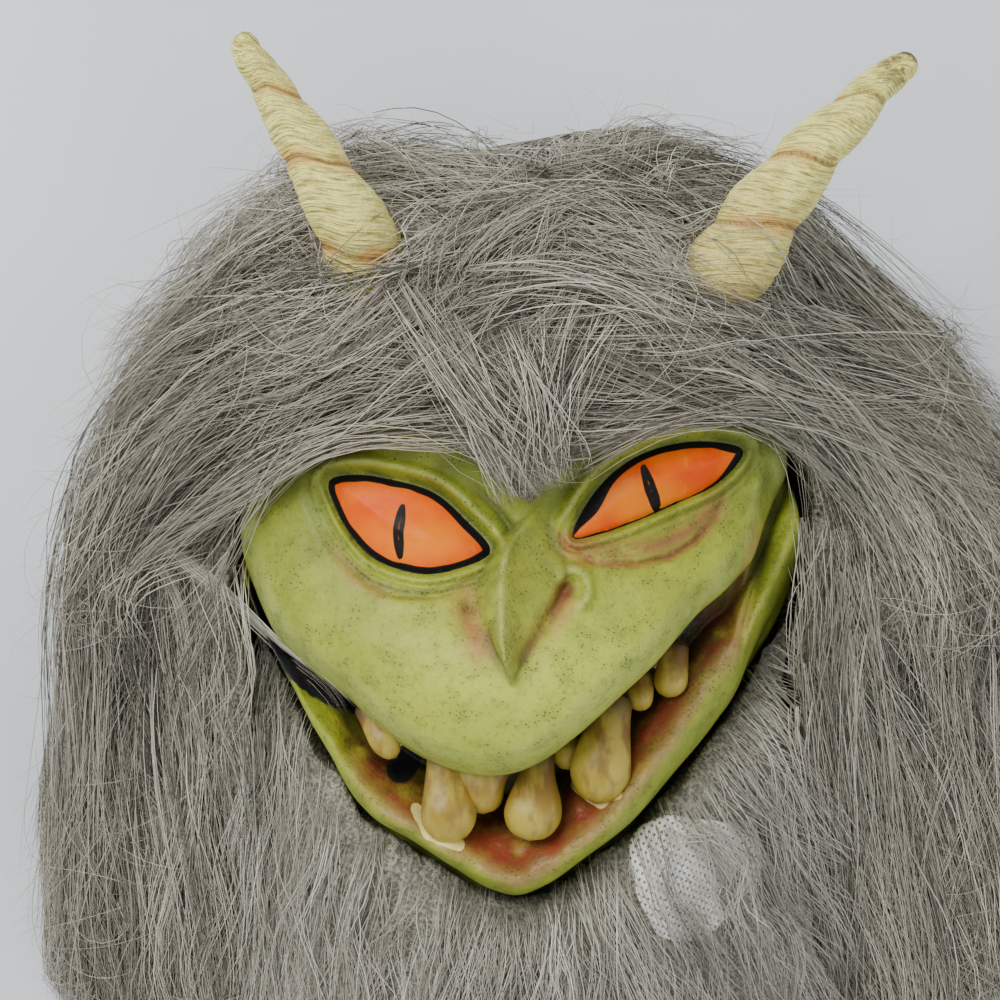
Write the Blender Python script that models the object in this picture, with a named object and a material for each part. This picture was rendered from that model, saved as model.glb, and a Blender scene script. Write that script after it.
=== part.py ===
"""Rubber goblin mask with twisted horns, a wig and a fur beard, lying on its back.

Metres. X runs across the face, Y from the neck to the crown, Z from the table up
through the nose. The origin is the middle of the flat rest under the hair.
"""
import math

import bmesh
import bpy
import numpy as np
from mathutils import Vector

# Head: half the width of the face at the cheeks sets the scale of the carving.
FACE_HALF = 0.120
HEAD_SCALE = FACE_HALF / 0.120
RUBBER_WALL = 0.003
NECK_RIM = -0.205
CROWN = 0.165
GLUE_GAP = 0.0004

# Horns: radius at the root and at the tip.
HORN_LEFT_ROOT = 0.0190
HORN_RIGHT_ROOT = 0.0196
HORN_TIP = 0.0050
HORN_GROOVE = 0.165

# Hair: the flat rest, the layer behind the neck and the depth of the locks.
HAIR_LAYER = 0.011
WIG_LOCK = 0.0150
BEARD_LOCK = 0.0080

# Triangles kept by each piece.
MASK_FACES = 3450
CAVITY_FACES = 460
WIG_FACES = 1150
BEARD_FACES = 560


def curve(points, at):
    """Smooth value at a position, through points of (position, value)."""
    table = np.array(points)
    knots = table[:, 0]
    values = table[:, 1]
    slopes = np.gradient(values, knots)
    at = np.clip(at, knots[0], knots[-1])
    i = np.clip(np.searchsorted(knots, at) - 1, 0, len(knots) - 2)
    span = knots[i + 1] - knots[i]
    s = (at - knots[i]) / span
    rise = s * s * (3 - 2 * s)
    lead = s * (1 - s) ** 2 * slopes[i] * span
    tail = s * s * (s - 1) * slopes[i + 1] * span
    return values[i] * (1 - rise) + values[i + 1] * rise + lead + tail


def smooth(low, high, at):
    """Soft step from 0 at low to 1 at high."""
    s = np.clip((at - low) / (high - low), 0, 1)
    return s * s * (3 - 2 * s)


def round_edge(distance, radius):
    """Quarter-round step that starts at an edge."""
    s = np.clip(distance / radius, 0, 1)
    return np.sqrt(1 - (1 - s) ** 2)


def off_curve(points, u, v):
    """Distance above a curve given as v over u, measured square to it."""
    step = 0.01
    slope = (curve(points, u + step) - curve(points, u - step)) / (2 * step)
    return (v - curve(points, u)) / np.sqrt(1 + slope * slope)


def inside(outline, u, v):
    """Signed distance into a closed outline, positive inside."""
    corners = np.array(outline)
    count = len(corners)
    t = np.linspace(0, count, count * 8, endpoint=False)
    wrapped = np.vstack([corners[-2:], corners, corners[:3]])
    along = np.arange(-2, count + 3)
    loop_u = curve(np.column_stack([along, wrapped[:, 0]]), t)
    loop_v = curve(np.column_stack([along, wrapped[:, 1]]), t)
    best = np.full(np.shape(u), 9.0)
    odd = np.zeros(np.shape(u), dtype=bool)
    for k in range(len(t)):
        au, av = loop_u[k - 1], loop_v[k - 1]
        bu, bv = loop_u[k], loop_v[k]
        du, dv = bu - au, bv - av
        s = np.clip(((u - au) * du + (v - av) * dv) / (du * du + dv * dv + 1e-12), 0, 1)
        best = np.minimum(best, np.hypot(u - au - s * du, v - av - s * dv))
        cross = (av > v) != (bv > v)
        reach = au + (v - av) * du / (dv if abs(dv) > 1e-9 else 1e-9)
        odd ^= cross & (u < reach)
    return np.where(odd, best, -best)


# Lines of the face, as shares of half its width.
MUZZLE = [(-1.30, 0.60), (-1.14, 0.26), (-1.05, -0.01), (-0.94, -0.28), (-0.80, -0.42), (-0.65, -0.52),
          (-0.52, -0.62), (-0.37, -0.70), (-0.23, -0.74), (-0.09, -0.75), (0.06, -0.71), (0.20, -0.62),
          (0.36, -0.51), (0.49, -0.39), (0.64, -0.22), (0.78, -0.10), (0.86, 0.00), (0.92, 0.14),
          (1.30, 0.70)]
JAW = [(-1.30, -0.02), (-1.06, -0.13), (-0.97, -0.32), (-0.88, -0.50), (-0.80, -0.68), (-0.70, -0.84),
       (-0.57, -0.98), (-0.41, -1.06), (-0.26, -1.15), (-0.11, -1.23), (-0.01, -1.25), (0.10, -1.21),
       (0.25, -1.11), (0.43, -0.98), (0.58, -0.82), (0.74, -0.64), (0.83, -0.51), (0.89, -0.35),
       (0.98, -0.17), (1.30, 0.20)]
LIP_CREST = [(-1.00, 0.55), (-0.60, 0.50), (-0.30, 0.34), (0.00, 0.28), (0.30, 0.35), (0.60, 0.48),
             (0.90, 0.55)]
EYE_LEFT = [(-0.69, 0.28), (-0.61, 0.30), (-0.50, 0.29), (-0.32, 0.24), (-0.20, 0.14), (-0.11, 0.03),
            (-0.22, -0.03), (-0.36, -0.05), (-0.52, 0.00), (-0.62, 0.10), (-0.68, 0.21)]
EYE_RIGHT = [(0.18, 0.08), (0.24, 0.21), (0.34, 0.32), (0.47, 0.39), (0.63, 0.42), (0.79, 0.40),
             (0.78, 0.34), (0.69, 0.26), (0.56, 0.20), (0.42, 0.14), (0.28, 0.09)]
NOSE_RIDGE = [(-0.42, -0.040), (-0.38, -0.045), (-0.33, -0.06), (-0.20, -0.07), (-0.01, -0.06), (0.09, -0.02),
              (0.16, 0.04), (0.20, 0.05)]
NOSE_LEFT = [(-0.42, -0.05), (-0.38, -0.055), (-0.29, -0.10), (-0.22, -0.13), (-0.13, -0.16), (0.00, -0.12),
             (0.09, -0.07), (0.16, 0.02), (0.20, 0.04)]
NOSE_RIGHT = [(-0.42, -0.03), (-0.38, -0.02), (-0.31, 0.02), (-0.21, 0.08), (-0.12, 0.14), (0.00, 0.15),
              (0.10, 0.11), (0.16, 0.06), (0.20, 0.06)]
# Teeth: root, tip, half width at each, and height of the crown line.
TEETH = [((-0.29, -0.68), (-0.26, -0.91), 0.050, 0.100, 1.50),
         ((-0.15, -0.71), (-0.14, -0.84), 0.130, 0.066, 1.46),
         ((0.07, -0.72), (0.04, -0.90), 0.055, 0.102, 1.50),
         ((0.33, -0.52), (0.28, -0.77), 0.075, 0.105, 1.47),
         ((-0.58, -0.55), (-0.49, -0.67), 0.035, 0.055, 1.40),
         ((0.16, -0.68), (0.16, -0.71), 0.050, 0.050, 1.36),
         ((0.44, -0.47), (0.44, -0.50), 0.050, 0.050, 1.32),
         ((0.56, -0.36), (0.54, -0.44), 0.050, 0.055, 1.34)]


def dome(v):
    """How far the skull closes toward the crown, 1 open to 0 shut."""
    s = np.clip((v - 0.35) / (CROWN / FACE_HALF - 0.35), 0, 1)
    return (1 - s ** 2.2) ** (1 / 2.2)


def half_width(v):
    """Half the width of the head at a level, in shares."""
    shape = [(-1.80, 0.62), (-1.50, 0.60), (-1.25, 0.60), (-1.00, 0.62), (-0.80, 0.70), (-0.60, 0.82),
             (-0.40, 0.96), (-0.20, 1.07), (0.00, 1.12), (0.20, 1.10), (0.40, 1.05), (0.80, 1.01),
             (1.50, 1.00)]
    return curve(shape, v) * dome(v)


def side_height(v):
    """Height of the widest line of the head."""
    return curve([(-1.80, 0.60), (-1.00, 0.66), (-0.50, 0.74), (0.00, 0.80), (0.50, 0.80), (1.50, 0.80)], v)


def bulge(xi, power):
    """Fullness of a section from its middle to its side."""
    return (1 - np.clip(np.abs(xi), 0, 1) ** power) ** (1 / power)


def with_tooth(skin, u, v, tooth):
    """Skin with one rounded tooth standing out of it."""
    (au, av), (bu, bv), wide_a, wide_b, crown = tooth
    du, dv = bu - au, bv - av
    s = np.clip(((u - au) * du + (v - av) * dv) / (du * du + dv * dv), 0, 1)
    wide = wide_a + (wide_b - wide_a) * s
    off = np.hypot(u - au - s * du, v - av - s * dv) / wide
    body = np.sqrt(np.clip(1 - off ** 2.6, 0, 1))
    return skin + np.maximum(crown + 0.4 * wide - skin, 0) * body


def face_height(u, v):
    """Height of the skin over the table, all in shares."""
    wide = half_width(v)
    xi = u / np.maximum(wide, 1e-6)
    side = side_height(v)
    above = off_curve(MUZZLE, u, v)
    within = off_curve(JAW, u, v)
    neck_front = curve([(-1.80, 1.10), (-1.20, 1.12), (-0.90, 1.16), (-0.60, 1.22), (-0.20, 1.30),
                        (1.50, 1.30)], v)
    neck = side + (neck_front - side) * bulge(xi, 2.2) * dome(v)
    # Upper face: forehead, cheeks and the long muzzle.
    crest = [(-0.95, 1.66), (-0.75, 1.70), (-0.60, 1.77), (-0.45, 1.80), (-0.30, 1.76), (-0.15, 1.66),
             (0.00, 1.58), (0.15, 1.53), (0.40, 1.54), (0.70, 1.56), (1.50, 1.56)]
    flank = 2.6 - 0.9 * smooth(0.0, -0.5, v)
    upper = side + (curve(crest, v) - side) * bulge(u / (1.15 * dome(v) + 1e-6), flank) * dome(v)
    # Lower face: the jaw with its rolled lip, sunk toward the mouth.
    share = within / np.maximum(within + np.maximum(-above, 0), 1e-4)
    ridge = curve(LIP_CREST, u)
    roll = np.exp(-((share - ridge * 0.8) / 0.26) ** 2) * 0.16
    sink = 0.26 * smooth(ridge + 0.18, 1.0, share)
    jaw_front = curve([(-1.30, 1.34), (-1.00, 1.36), (-0.60, 1.34), (-0.20, 1.34), (0.40, 1.36)], v)
    jaw = side + (jaw_front + roll - sink - side) * bulge(u / 1.16, 2.2)
    # Roll of the cheek at the right, outside the mouth corner.
    beside = u - 0.99 + 0.12 * (v + 0.1) ** 2
    jaw = jaw + 0.05 * np.exp(-(beside / 0.05) ** 2) * smooth(-0.55, -0.25, v) * smooth(0.42, 0.2, v)
    lower = neck + (np.maximum(jaw, neck) - neck) * round_edge(within, 0.09)
    skin = lower + (np.maximum(upper, lower) - lower) * round_edge(above, 0.15)
    toothed = skin
    for tooth in TEETH:
        toothed = with_tooth(toothed, u, v, tooth)
    skin = np.where((above < 0.02) & (within > 0), toothed, skin)
    # Eyes, their lids and the bags below them.
    for outline, tilt in ((EYE_LEFT, -0.42), (EYE_RIGHT, 0.42)):
        depth = inside(outline, u, v)
        out = np.maximum(-depth, 0)
        mid_u = sum(p[0] for p in outline) / len(outline)
        mid_v = sum(p[1] for p in outline) / len(outline)
        below = smooth(0.06, -0.06, v - mid_v - tilt * (u - mid_u))
        ball = 0.075 * np.sqrt(np.clip(depth / 0.13, 0, 1))
        socket = -0.045 * np.exp(-(out / 0.10) ** 2) * (depth < 0) - 0.045 * (depth >= 0)
        lid = 0.050 * np.exp(-((out - 0.045) / 0.030) ** 2) * (depth < 0)
        bag = 0.012 * np.exp(-((out - 0.090) / 0.030) ** 2) - 0.016 * np.exp(-((out - 0.130) / 0.020) ** 2)
        bag = bag * below
        skin = skin + ball + socket + lid + bag * (depth < 0)
    # Nose: a leaf with a sharp ridge, and a nostril on each side.
    ridge_u = curve(NOSE_RIDGE, v)
    left_u = curve(NOSE_LEFT, v)
    right_u = curve(NOSE_RIGHT, v)
    leaf = np.where(u < ridge_u, (u - left_u) / np.maximum(ridge_u - left_u, 1e-3),
                    (right_u - u) / np.maximum(right_u - ridge_u, 1e-3))
    tall = curve([(-0.42, 0.0), (-0.37, 0.100), (-0.30, 0.130), (-0.15, 0.105), (0.00, 0.075), (0.12, 0.035),
                  (0.19, 0.0)], v)
    skin = skin + tall * np.clip(leaf, 0, 1) * (v < 0.19) * (v > -0.42)
    wing = np.hypot(u - 0.175, (v + 0.095) * 0.85)
    skin = skin + 0.040 * np.exp(-((wing - 0.055) / 0.022) ** 2) * smooth(0.13, 0.19, u + 0.3 * v + 0.03)
    skin = skin - 0.045 * np.exp(-(np.hypot((u - 0.145) + 0.35 * (v + 0.12), (v + 0.12) * 0.55) / 0.030) ** 2)
    skin = skin - 0.032 * np.exp(-(np.hypot((u + 0.180), (v + 0.165) * 0.7) / 0.046) ** 2)
    # Dimple beside the lip at the left.
    skin = skin - 0.045 * np.exp(-(np.hypot((u + 0.60) * 0.6, v + 0.70 - 0.25 * (u + 0.60)) / 0.040) ** 2)
    edge = smooth(1.0, 0.93, np.abs(xi))
    return side + (skin - side) * np.where(np.abs(xi) < 1, edge, 0)


def back_height(u, v):
    """Height of the back of the head over the table, in shares."""
    side = side_height(v)
    deep = side - curve([(-1.80, 0.105), (1.50, 0.105)], v)
    xi = u / np.maximum(half_width(v), 1e-6)
    return side - deep * bulge(xi, 2.6) * dome(v)


def add_object(name, bm):
    """Closed mesh with its faces turned outward, as an object."""
    bmesh.ops.recalc_face_normals(bm, faces=bm.faces)
    mesh = bpy.data.meshes.new(name)
    bm.to_mesh(mesh)
    bm.free()
    obj = bpy.data.objects.new(name, mesh)
    bpy.context.scene.collection.objects.link(obj)
    return obj


def bake(obj):
    """Keep the shape that the modifiers give and drop the modifiers."""
    graph = bpy.context.evaluated_depsgraph_get()
    mesh = bpy.data.meshes.new_from_object(obj.evaluated_get(graph))
    obj.modifiers.clear()
    obj.data = mesh


def thin(obj, target, keep=None):
    """Reduce to about the wanted number of triangles, with more left where keep says so."""
    tool = obj.modifiers.new("triangles", "TRIANGULATE")
    tool.min_vertices = 4
    bake(obj)
    tool = obj.modifiers.new("fewer", "DECIMATE")
    tool.ratio = min(1.0, target / len(obj.data.polygons))
    if keep:
        group = obj.vertex_groups.new(name="coarse")
        for vert in obj.data.vertices:
            group.add([vert.index], 1.0 - 0.9 * keep(vert.co), "REPLACE")
        tool.vertex_group = "coarse"
        tool.vertex_group_factor = 0.0002
    bake(obj)
    obj.vertex_groups.clear()


def carve(obj, tool, operation):
    """Boolean of one solid with another."""
    step = obj.modifiers.new("carve", "BOOLEAN")
    step.operation = operation
    step.solver = "EXACT"
    step.object = tool
    bake(obj)


def grown(obj, name, amount):
    """Copy of a solid with its skin moved outward."""
    copy = bpy.data.objects.new(name, obj.data.copy())
    bpy.context.scene.collection.objects.link(copy)
    step = copy.modifiers.new("grow", "DISPLACE")
    step.strength = amount
    step.mid_level = 0.0
    bake(copy)
    return copy


def drop(obj):
    """Remove a tool that has done its work."""
    bpy.data.objects.remove(obj, do_unlink=True)


def ring_solid(name, levels, columns, section):
    """Solid of closed sections along Y with a flat lower end and a pointed upper end."""
    bm = bmesh.new()
    rings = []
    angles = np.concatenate([np.linspace(0, math.pi, columns, endpoint=False),
                             np.linspace(math.pi, 2 * math.pi, columns // 4, endpoint=False)])
    for y in levels[:-1]:
        x, z = section(angles, y)
        rings.append([bm.verts.new((float(a), float(y), float(b))) for a, b in zip(x, z)])
    for low, high in zip(rings, rings[1:]):
        for k in range(len(low)):
            bm.faces.new((low[k - 1], low[k], high[k], high[k - 1]))
    bm.faces.new(rings[0])
    x, z = section(angles, levels[-1])
    tip = bm.verts.new((float(np.mean(x)), float(levels[-1]), float(np.mean(z))))
    last = rings[-1]
    for k in range(len(last)):
        bm.faces.new((last[k - 1], last[k], tip))
    return add_object(name, bm)


def head_levels(low, high, count):
    """Levels from the neck to the crown, closer together near the crown."""
    t = np.linspace(0, 1, count)
    return low + (high - low) * (1 - (1 - t) ** 1.35)


def head_section(angles, y):
    """Outer section of the head at a level."""
    v = np.full(len(angles), y / FACE_HALF)
    u = half_width(v) * np.cos(angles)
    front = np.sin(angles) >= 0
    high = np.where(front, face_height(u, v), back_height(u, v))
    return u * FACE_HALF, high * FACE_HALF


def fine_carving(place):
    """1 over the nose and the teeth, 0 elsewhere."""
    u, v = place.x / FACE_HALF, place.y / FACE_HALF
    nose = abs(u - 0.02) < 0.20 and -0.44 < v < 0.17
    grin = abs(u) < 0.62 and -0.98 < v < -0.42 and off_curve(MUZZLE, np.array([u]), np.array([v]))[0] < 0.05
    return 1.0 if place.z > side_height(0.0) * FACE_HALF and (nose or grin) else 0.0


def cavity_solid():
    """Inside of the rubber, one wall under the skin and run out through the neck."""
    step = 0.002
    xs = np.arange(-0.140, 0.1401, step)
    ys = np.arange(-0.240, 0.1801, step)
    gx, gy = np.meshgrid(xs, ys)
    skin = face_height(gx / FACE_HALF, gy / FACE_HALF) * FACE_HALF
    reach = RUBBER_WALL + 0.0020
    inner = skin.copy()
    span = int(reach / step) + 1
    for i in range(-span, span + 1):
        for j in range(-span, span + 1):
            off = math.hypot(i, j) * step
            ball = math.sqrt(max(reach * reach - off * off, 0.0))
            if off <= reach:
                moved = np.roll(np.roll(skin, i, axis=0), j, axis=1) - ball
                inner = np.minimum(inner, moved)
    for turn in range(6):
        inner[1:-1, :] = (inner[:-2, :] + 2 * inner[1:-1, :] + inner[2:, :]) / 4
        inner[:, 1:-1] = (inner[:, :-2] + 2 * inner[:, 1:-1] + inner[:, 2:]) / 4

    def section(angles, y):
        """Inner section at a level."""
        v = np.full(len(angles), y / FACE_HALF)
        outer = half_width(v) * FACE_HALF
        wide = np.maximum(outer - RUBBER_WALL, 0.0)
        x = wide * np.cos(angles)
        i = np.clip((x - xs[0]) / step, 0, len(xs) - 1.001)
        j = min(max((y - ys[0]) / step, 0), len(ys) - 1.001)
        i0 = i.astype(int)
        j0 = int(j)
        fi, fj = i - i0, j - j0
        top = (inner[j0, i0] * (1 - fi) + inner[j0, i0 + 1] * fi) * (1 - fj)
        top = top + (inner[j0 + 1, i0] * (1 - fi) + inner[j0 + 1, i0 + 1] * fi) * fj
        side = side_height(v) * FACE_HALF
        cap = side + (top - side) * smooth(1.0, 0.90, np.abs(np.cos(angles)))
        bottom = back_height(x / FACE_HALF * outer / np.maximum(wide, 1e-6), v) * FACE_HALF + RUBBER_WALL
        bottom = np.minimum(bottom, side)
        return x, np.where(np.sin(angles) >= 0, np.maximum(cap, side), bottom)

    return ring_solid("cavity", head_levels(NECK_RIM - 0.02, CROWN - RUBBER_WALL, 90), 96, section)


def horn_path(points, count):
    """Even places on a horn's middle line, each with its distance from the tip."""
    t = np.linspace(0, 1, 400)
    along = np.linspace(0, 1, len(points))
    fine = np.column_stack([curve(np.column_stack([along, [p[k] for p in points]]), t) for k in range(3)])
    fine = fine * HEAD_SCALE
    run = np.concatenate([[0], np.cumsum(np.linalg.norm(np.diff(fine, axis=0), axis=1))])
    want = np.linspace(0, run[-1], count)
    place = np.column_stack([np.interp(want, run, fine[:, k]) for k in range(3)])
    return place, run[-1] - want


def horn_solid(name, points, root, extra, winding, hand):
    """Tapered horn of swollen twists with a groove that winds round it."""
    bm = bmesh.new()
    rings = []
    around = 12
    places, from_tip = horn_path(points, 34)
    aheads = np.gradient(places, axis=0)
    for place, ahead, end in zip(places, aheads, from_tip):
        ahead = Vector(ahead).normalized()
        side = ahead.cross(Vector((0, 0, 1))).normalized()
        rise = side.cross(ahead)
        taper = root * float(curve(HORN_FULLNESS, end / HEAD_SCALE))
        taper = taper * math.sqrt(max(1 - max(1 - end / HORN_TIP, 0) ** 2, 0.05))
        turns = float(curve(winding, end / HEAD_SCALE))
        ring = []
        for k in range(around):
            angle = 2 * math.pi * k / around
            phase = turns + hand * (angle / (2 * math.pi) - 0.25)
            groove = 1 - math.sin((phase - math.floor(phase)) * math.pi) ** 0.8
            radius = taper * (1.03 - HORN_GROOVE * groove) + extra
            out = side * math.cos(angle) + rise * math.sin(angle)
            ring.append(bm.verts.new(Vector(place) + out * radius))
        rings.append(ring)
    for low, high in zip(rings, rings[1:]):
        for k in range(around):
            bm.faces.new((low[k - 1], low[k], high[k], high[k - 1]))
    bm.faces.new(rings[0])
    bm.faces.new(rings[-1])
    bmesh.ops.triangulate(bm, faces=bm.faces)
    return add_object(name, bm)


def stream(x, y, middle_x, middle_y, spread):
    """Lock number at a place: hair that leaves a middle and then falls."""
    angle = np.arctan2(x - middle_x, middle_y - y)
    return spread * angle + (x - middle_x)


def locks(number, pitch, seed):
    """Rounded lock relief from 0 in the partings to 1 on the crests."""
    phase = number / pitch + 0.35 * np.sin(number / pitch * 0.73 + seed)
    first = np.abs(np.sin(phase * math.pi)) ** 0.7
    second = np.abs(np.sin(phase * 0.47 * math.pi + seed)) ** 0.7
    return 0.65 * first + 0.35 * second


WINDOW = [(0.004, 0.022), (0.018, 0.036), (0.040, 0.054), (0.078, 0.066), (0.104, 0.064), (0.124, 0.050),
          (0.130, 0.028), (0.131, 0.000), (0.127, -0.026), (0.124, -0.060), (0.132, -0.110), (0.142, -0.170),
          (0.150, -0.230), (0.155, -0.330), (-0.130, -0.330), (-0.124, -0.230), (-0.118, -0.160),
          (-0.118, -0.100), (-0.122, -0.055), (-0.129, -0.022), (-0.130, 0.006), (-0.122, 0.026),
          (-0.100, 0.047), (-0.070, 0.058), (-0.040, 0.052), (-0.014, 0.034)]


def hair_top(x, y):
    """Height of the wig over the table."""
    flat_x, flat_y = x / HEAD_SCALE, y / HEAD_SCALE
    out = ((np.abs(flat_x - 0.005) / 0.138) ** 2.4 + (np.abs(flat_y - 0.020) / 0.168) ** 2.4) ** (1 / 2.4)
    skirt = curve([(0.0, 0.170), (0.7, 0.166), (0.88, 0.150), (1.06, 0.122), (1.30, 0.088), (1.65, 0.058),
                   (2.0, 0.040), (2.6, 0.030)], out) * HEAD_SCALE
    v = y / FACE_HALF
    side = side_height(v)
    skull = (side + (1.54 - side) * bulge(x / FACE_HALF / 1.12, 2.4) * dome(v)) * FACE_HALF
    away = np.maximum(-inside(WINDOW, flat_x, flat_y), 0)
    deep = 0.007 + 0.013 * smooth(0.0, 0.045, away)
    capped = skull + deep - 0.16 * smooth(-0.2, -1.1, v)
    blend = 0.012
    high = np.maximum(skirt, capped) + blend * np.exp(-np.abs(skirt - capped) / blend) * 0.35
    relief = locks(stream(flat_x, flat_y, 0.01, 0.11, 0.10), 0.030, 1.3)
    return high + WIG_LOCK * (relief - 0.6) * smooth(0.30, 0.95, out)


WIG_OUTLINE = [(-0.090, 0.196), (-0.020, 0.192), (0.060, 0.204), (0.120, 0.180), (0.172, 0.140),
               (0.218, 0.090), (0.246, 0.020), (0.256, -0.060), (0.262, -0.140), (0.254, -0.220),
               (0.215, -0.276), (0.160, -0.290), (0.105, -0.262), (0.040, -0.250), (-0.030, -0.252),
               (-0.095, -0.262), (-0.150, -0.292),
               (-0.205, -0.276), (-0.240, -0.215), (-0.244, -0.130), (-0.228, -0.050), (-0.214, 0.020),
               (-0.196, 0.090), (-0.150, 0.150)]


def wig_blank():
    """Mass of the wig before the head, the horns and the face are taken out."""
    bm = bmesh.new()
    corners = np.array(WIG_OUTLINE)
    count = len(corners)
    around = 300
    rings = 90
    t = np.linspace(0, count, around, endpoint=False)
    wrapped = np.vstack([corners[-2:], corners, corners[:3]])
    along = np.arange(-2, count + 3)
    edge_x = curve(np.column_stack([along, wrapped[:, 0]]), t)
    edge_y = curve(np.column_stack([along, wrapped[:, 1]]), t)
    tuft = locks(stream(edge_x, edge_y, 0.01, 0.11, 0.10), 0.030, 1.3)
    scale = 1 + 0.045 * (tuft - 0.5)
    edge_x = edge_x * scale * HEAD_SCALE
    edge_y = (-0.03 + (edge_y + 0.03) * scale) * HEAD_SCALE
    grid = []
    for r in range(rings):
        s = (r + 1) / rings
        x = edge_x * s
        y = -0.03 + (edge_y + 0.03) * s
        z = 0.004 + (hair_top(x, y) - 0.004) * np.sqrt(np.clip(1 - s ** 15, 0, 1))
        grid.append([bm.verts.new((float(a), float(b), float(c))) for a, b, c in zip(x, y, z)])
    base = [bm.verts.new((p.co.x, p.co.y, -0.004)) for p in grid[-1]]
    grid.append(base)
    middle = bm.verts.new((0.0, -0.03, float(hair_top(np.array([0.0]), np.array([-0.03]))[0])))
    for k in range(around):
        bm.faces.new((middle, grid[0][k - 1], grid[0][k]))
    for low, high in zip(grid, grid[1:]):
        for k in range(around):
            bm.faces.new((low[k - 1], low[k], high[k], high[k - 1]))
    bm.faces.new(base)
    wig = add_object("wig", bm)
    thin(wig, WIG_FACES)
    return wig


def window_prism(name, low, high, inset):
    """Upright prism over the opening that the hair leaves for the face and beard."""
    bm = bmesh.new()
    corners = [Vector(p) * HEAD_SCALE for p in WINDOW]
    moved = []
    for k, here in enumerate(corners):
        back = (here - corners[k - 1]).normalized()
        ahead = (corners[(k + 1) % len(corners)] - here).normalized()
        turn = (back + ahead).normalized()
        moved.append(here + Vector((turn.y, -turn.x)) * inset)
    bottom = [bm.verts.new((p.x, p.y, low)) for p in moved]
    top = [bm.verts.new((p.x, p.y, high)) for p in moved]
    bm.faces.new(bottom)
    bm.faces.new(top)
    for k in range(len(moved)):
        bm.faces.new((bottom[k - 1], bottom[k], top[k], top[k - 1]))
    return add_object(name, bm)


def beard_top(x, y):
    """Height of the beard over the table."""
    under = -off_curve(JAW, x / FACE_HALF, y / FACE_HALF) * FACE_HALF
    flat_x, flat_y = x / HEAD_SCALE, y / HEAD_SCALE
    lift = curve([(-0.20, 0.150), (-0.004, 0.150), (0.002, 0.160), (0.016, 0.172), (0.050, 0.166),
                  (0.100, 0.150), (0.160, 0.122), (0.240, 0.100)], under / HEAD_SCALE) * HEAD_SCALE
    side = curve([(-0.22, 0.58), (-0.12, 0.66), (-0.08, 0.86), (0.00, 1.0), (0.08, 0.90), (0.12, 0.74),
                  (0.22, 0.62)], flat_x)
    relief = locks(stream(flat_x, flat_y, 0.0, -0.035, 0.09), 0.019, 0.4)
    return lift * side + BEARD_LOCK * (relief - 0.7) * smooth(0.0, 0.02, under)


def beard_blank():
    """Mass of the beard before the rubber is taken out of it."""
    bm = bmesh.new()
    count_x, count_y = 110, 110
    top, low = [], []
    for i in range(count_y):
        s = i / (count_y - 1)
        row_top, row_low = [], []
        for k in range(count_x):
            x = (-0.150 + 0.315 * k / (count_x - 1)) * HEAD_SCALE
            start = float(curve(JAW, np.array([x / FACE_HALF]))[0]) * FACE_HALF + 0.004
            end = (-0.286 + 0.012 * math.sin(x * 95) + 0.9 * (x + 0.01) ** 2) * HEAD_SCALE
            y = start + (end - start) * s
            high = float(beard_top(np.array([x]), np.array([y]))[0])
            ends = math.sqrt(max(1 - max(s - 0.9, 0) ** 2 / 0.0105, 0.02))
            floor = 0.070 - 0.045 * smooth(0.07, 0.11, abs(x)) + 0.04 * smooth(0.55, 1.0, s)
            floor = min(floor, high - 0.012)
            row_top.append(bm.verts.new((x, y, floor + (high - floor) * ends)))
            row_low.append(bm.verts.new((x, y, floor)))
        top.append(row_top)
        low.append(row_low)
    for sheet in (top, low):
        for i in range(count_y - 1):
            for k in range(count_x - 1):
                bm.faces.new((sheet[i][k], sheet[i][k + 1], sheet[i + 1][k + 1], sheet[i + 1][k]))
    for i in range(count_y - 1):
        bm.faces.new((top[i][0], top[i + 1][0], low[i + 1][0], low[i][0]))
        bm.faces.new((top[i][-1], top[i + 1][-1], low[i + 1][-1], low[i][-1]))
    for k in range(count_x - 1):
        bm.faces.new((top[0][k], top[0][k + 1], low[0][k + 1], low[0][k]))
        bm.faces.new((top[-1][k], top[-1][k + 1], low[-1][k + 1], low[-1][k]))
    beard = add_object("beard", bm)
    thin(beard, BEARD_FACES)
    return beard


def neck_way():
    """Room in front of the neck opening, narrower away from it."""
    bm = bmesh.new()
    made = bmesh.ops.create_cone(bm, cap_ends=True, segments=28, radius1=0.092, radius2=0.0665, depth=0.20)
    for vert in made["verts"]:
        x, y, z = vert.co
        vert.co = (x * 1.08, NECK_RIM - 0.099 + z, 0.066 + y * 0.98 + 0.012 * (z - 0.1) / 0.2)
    return add_object("neck_way", bm)


def box(name, low, high):
    """Plain box between two corners."""
    bm = bmesh.new()
    bmesh.ops.create_cube(bm, size=1.0)
    for vert in bm.verts:
        vert.co = Vector([low[k] + (vert.co[k] + 0.5) * (high[k] - low[k]) for k in range(3)])
    return add_object(name, bm)


def paint(obj, colour, roughness):
    """Own material of one piece."""
    material = bpy.data.materials.new(obj.name + "_finish")
    material.use_nodes = True
    shader = material.node_tree.nodes["Principled BSDF"]
    shader.inputs["Base Color"].default_value = (*colour, 1.0)
    shader.inputs["Roughness"].default_value = roughness
    shader.inputs["Metallic"].default_value = 0.0
    material.diffuse_color = (*colour, 1.0)
    obj.data.materials.clear()
    obj.data.materials.append(material)
    for face in obj.data.polygons:
        face.use_smooth = True
        face.material_index = 0


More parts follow.
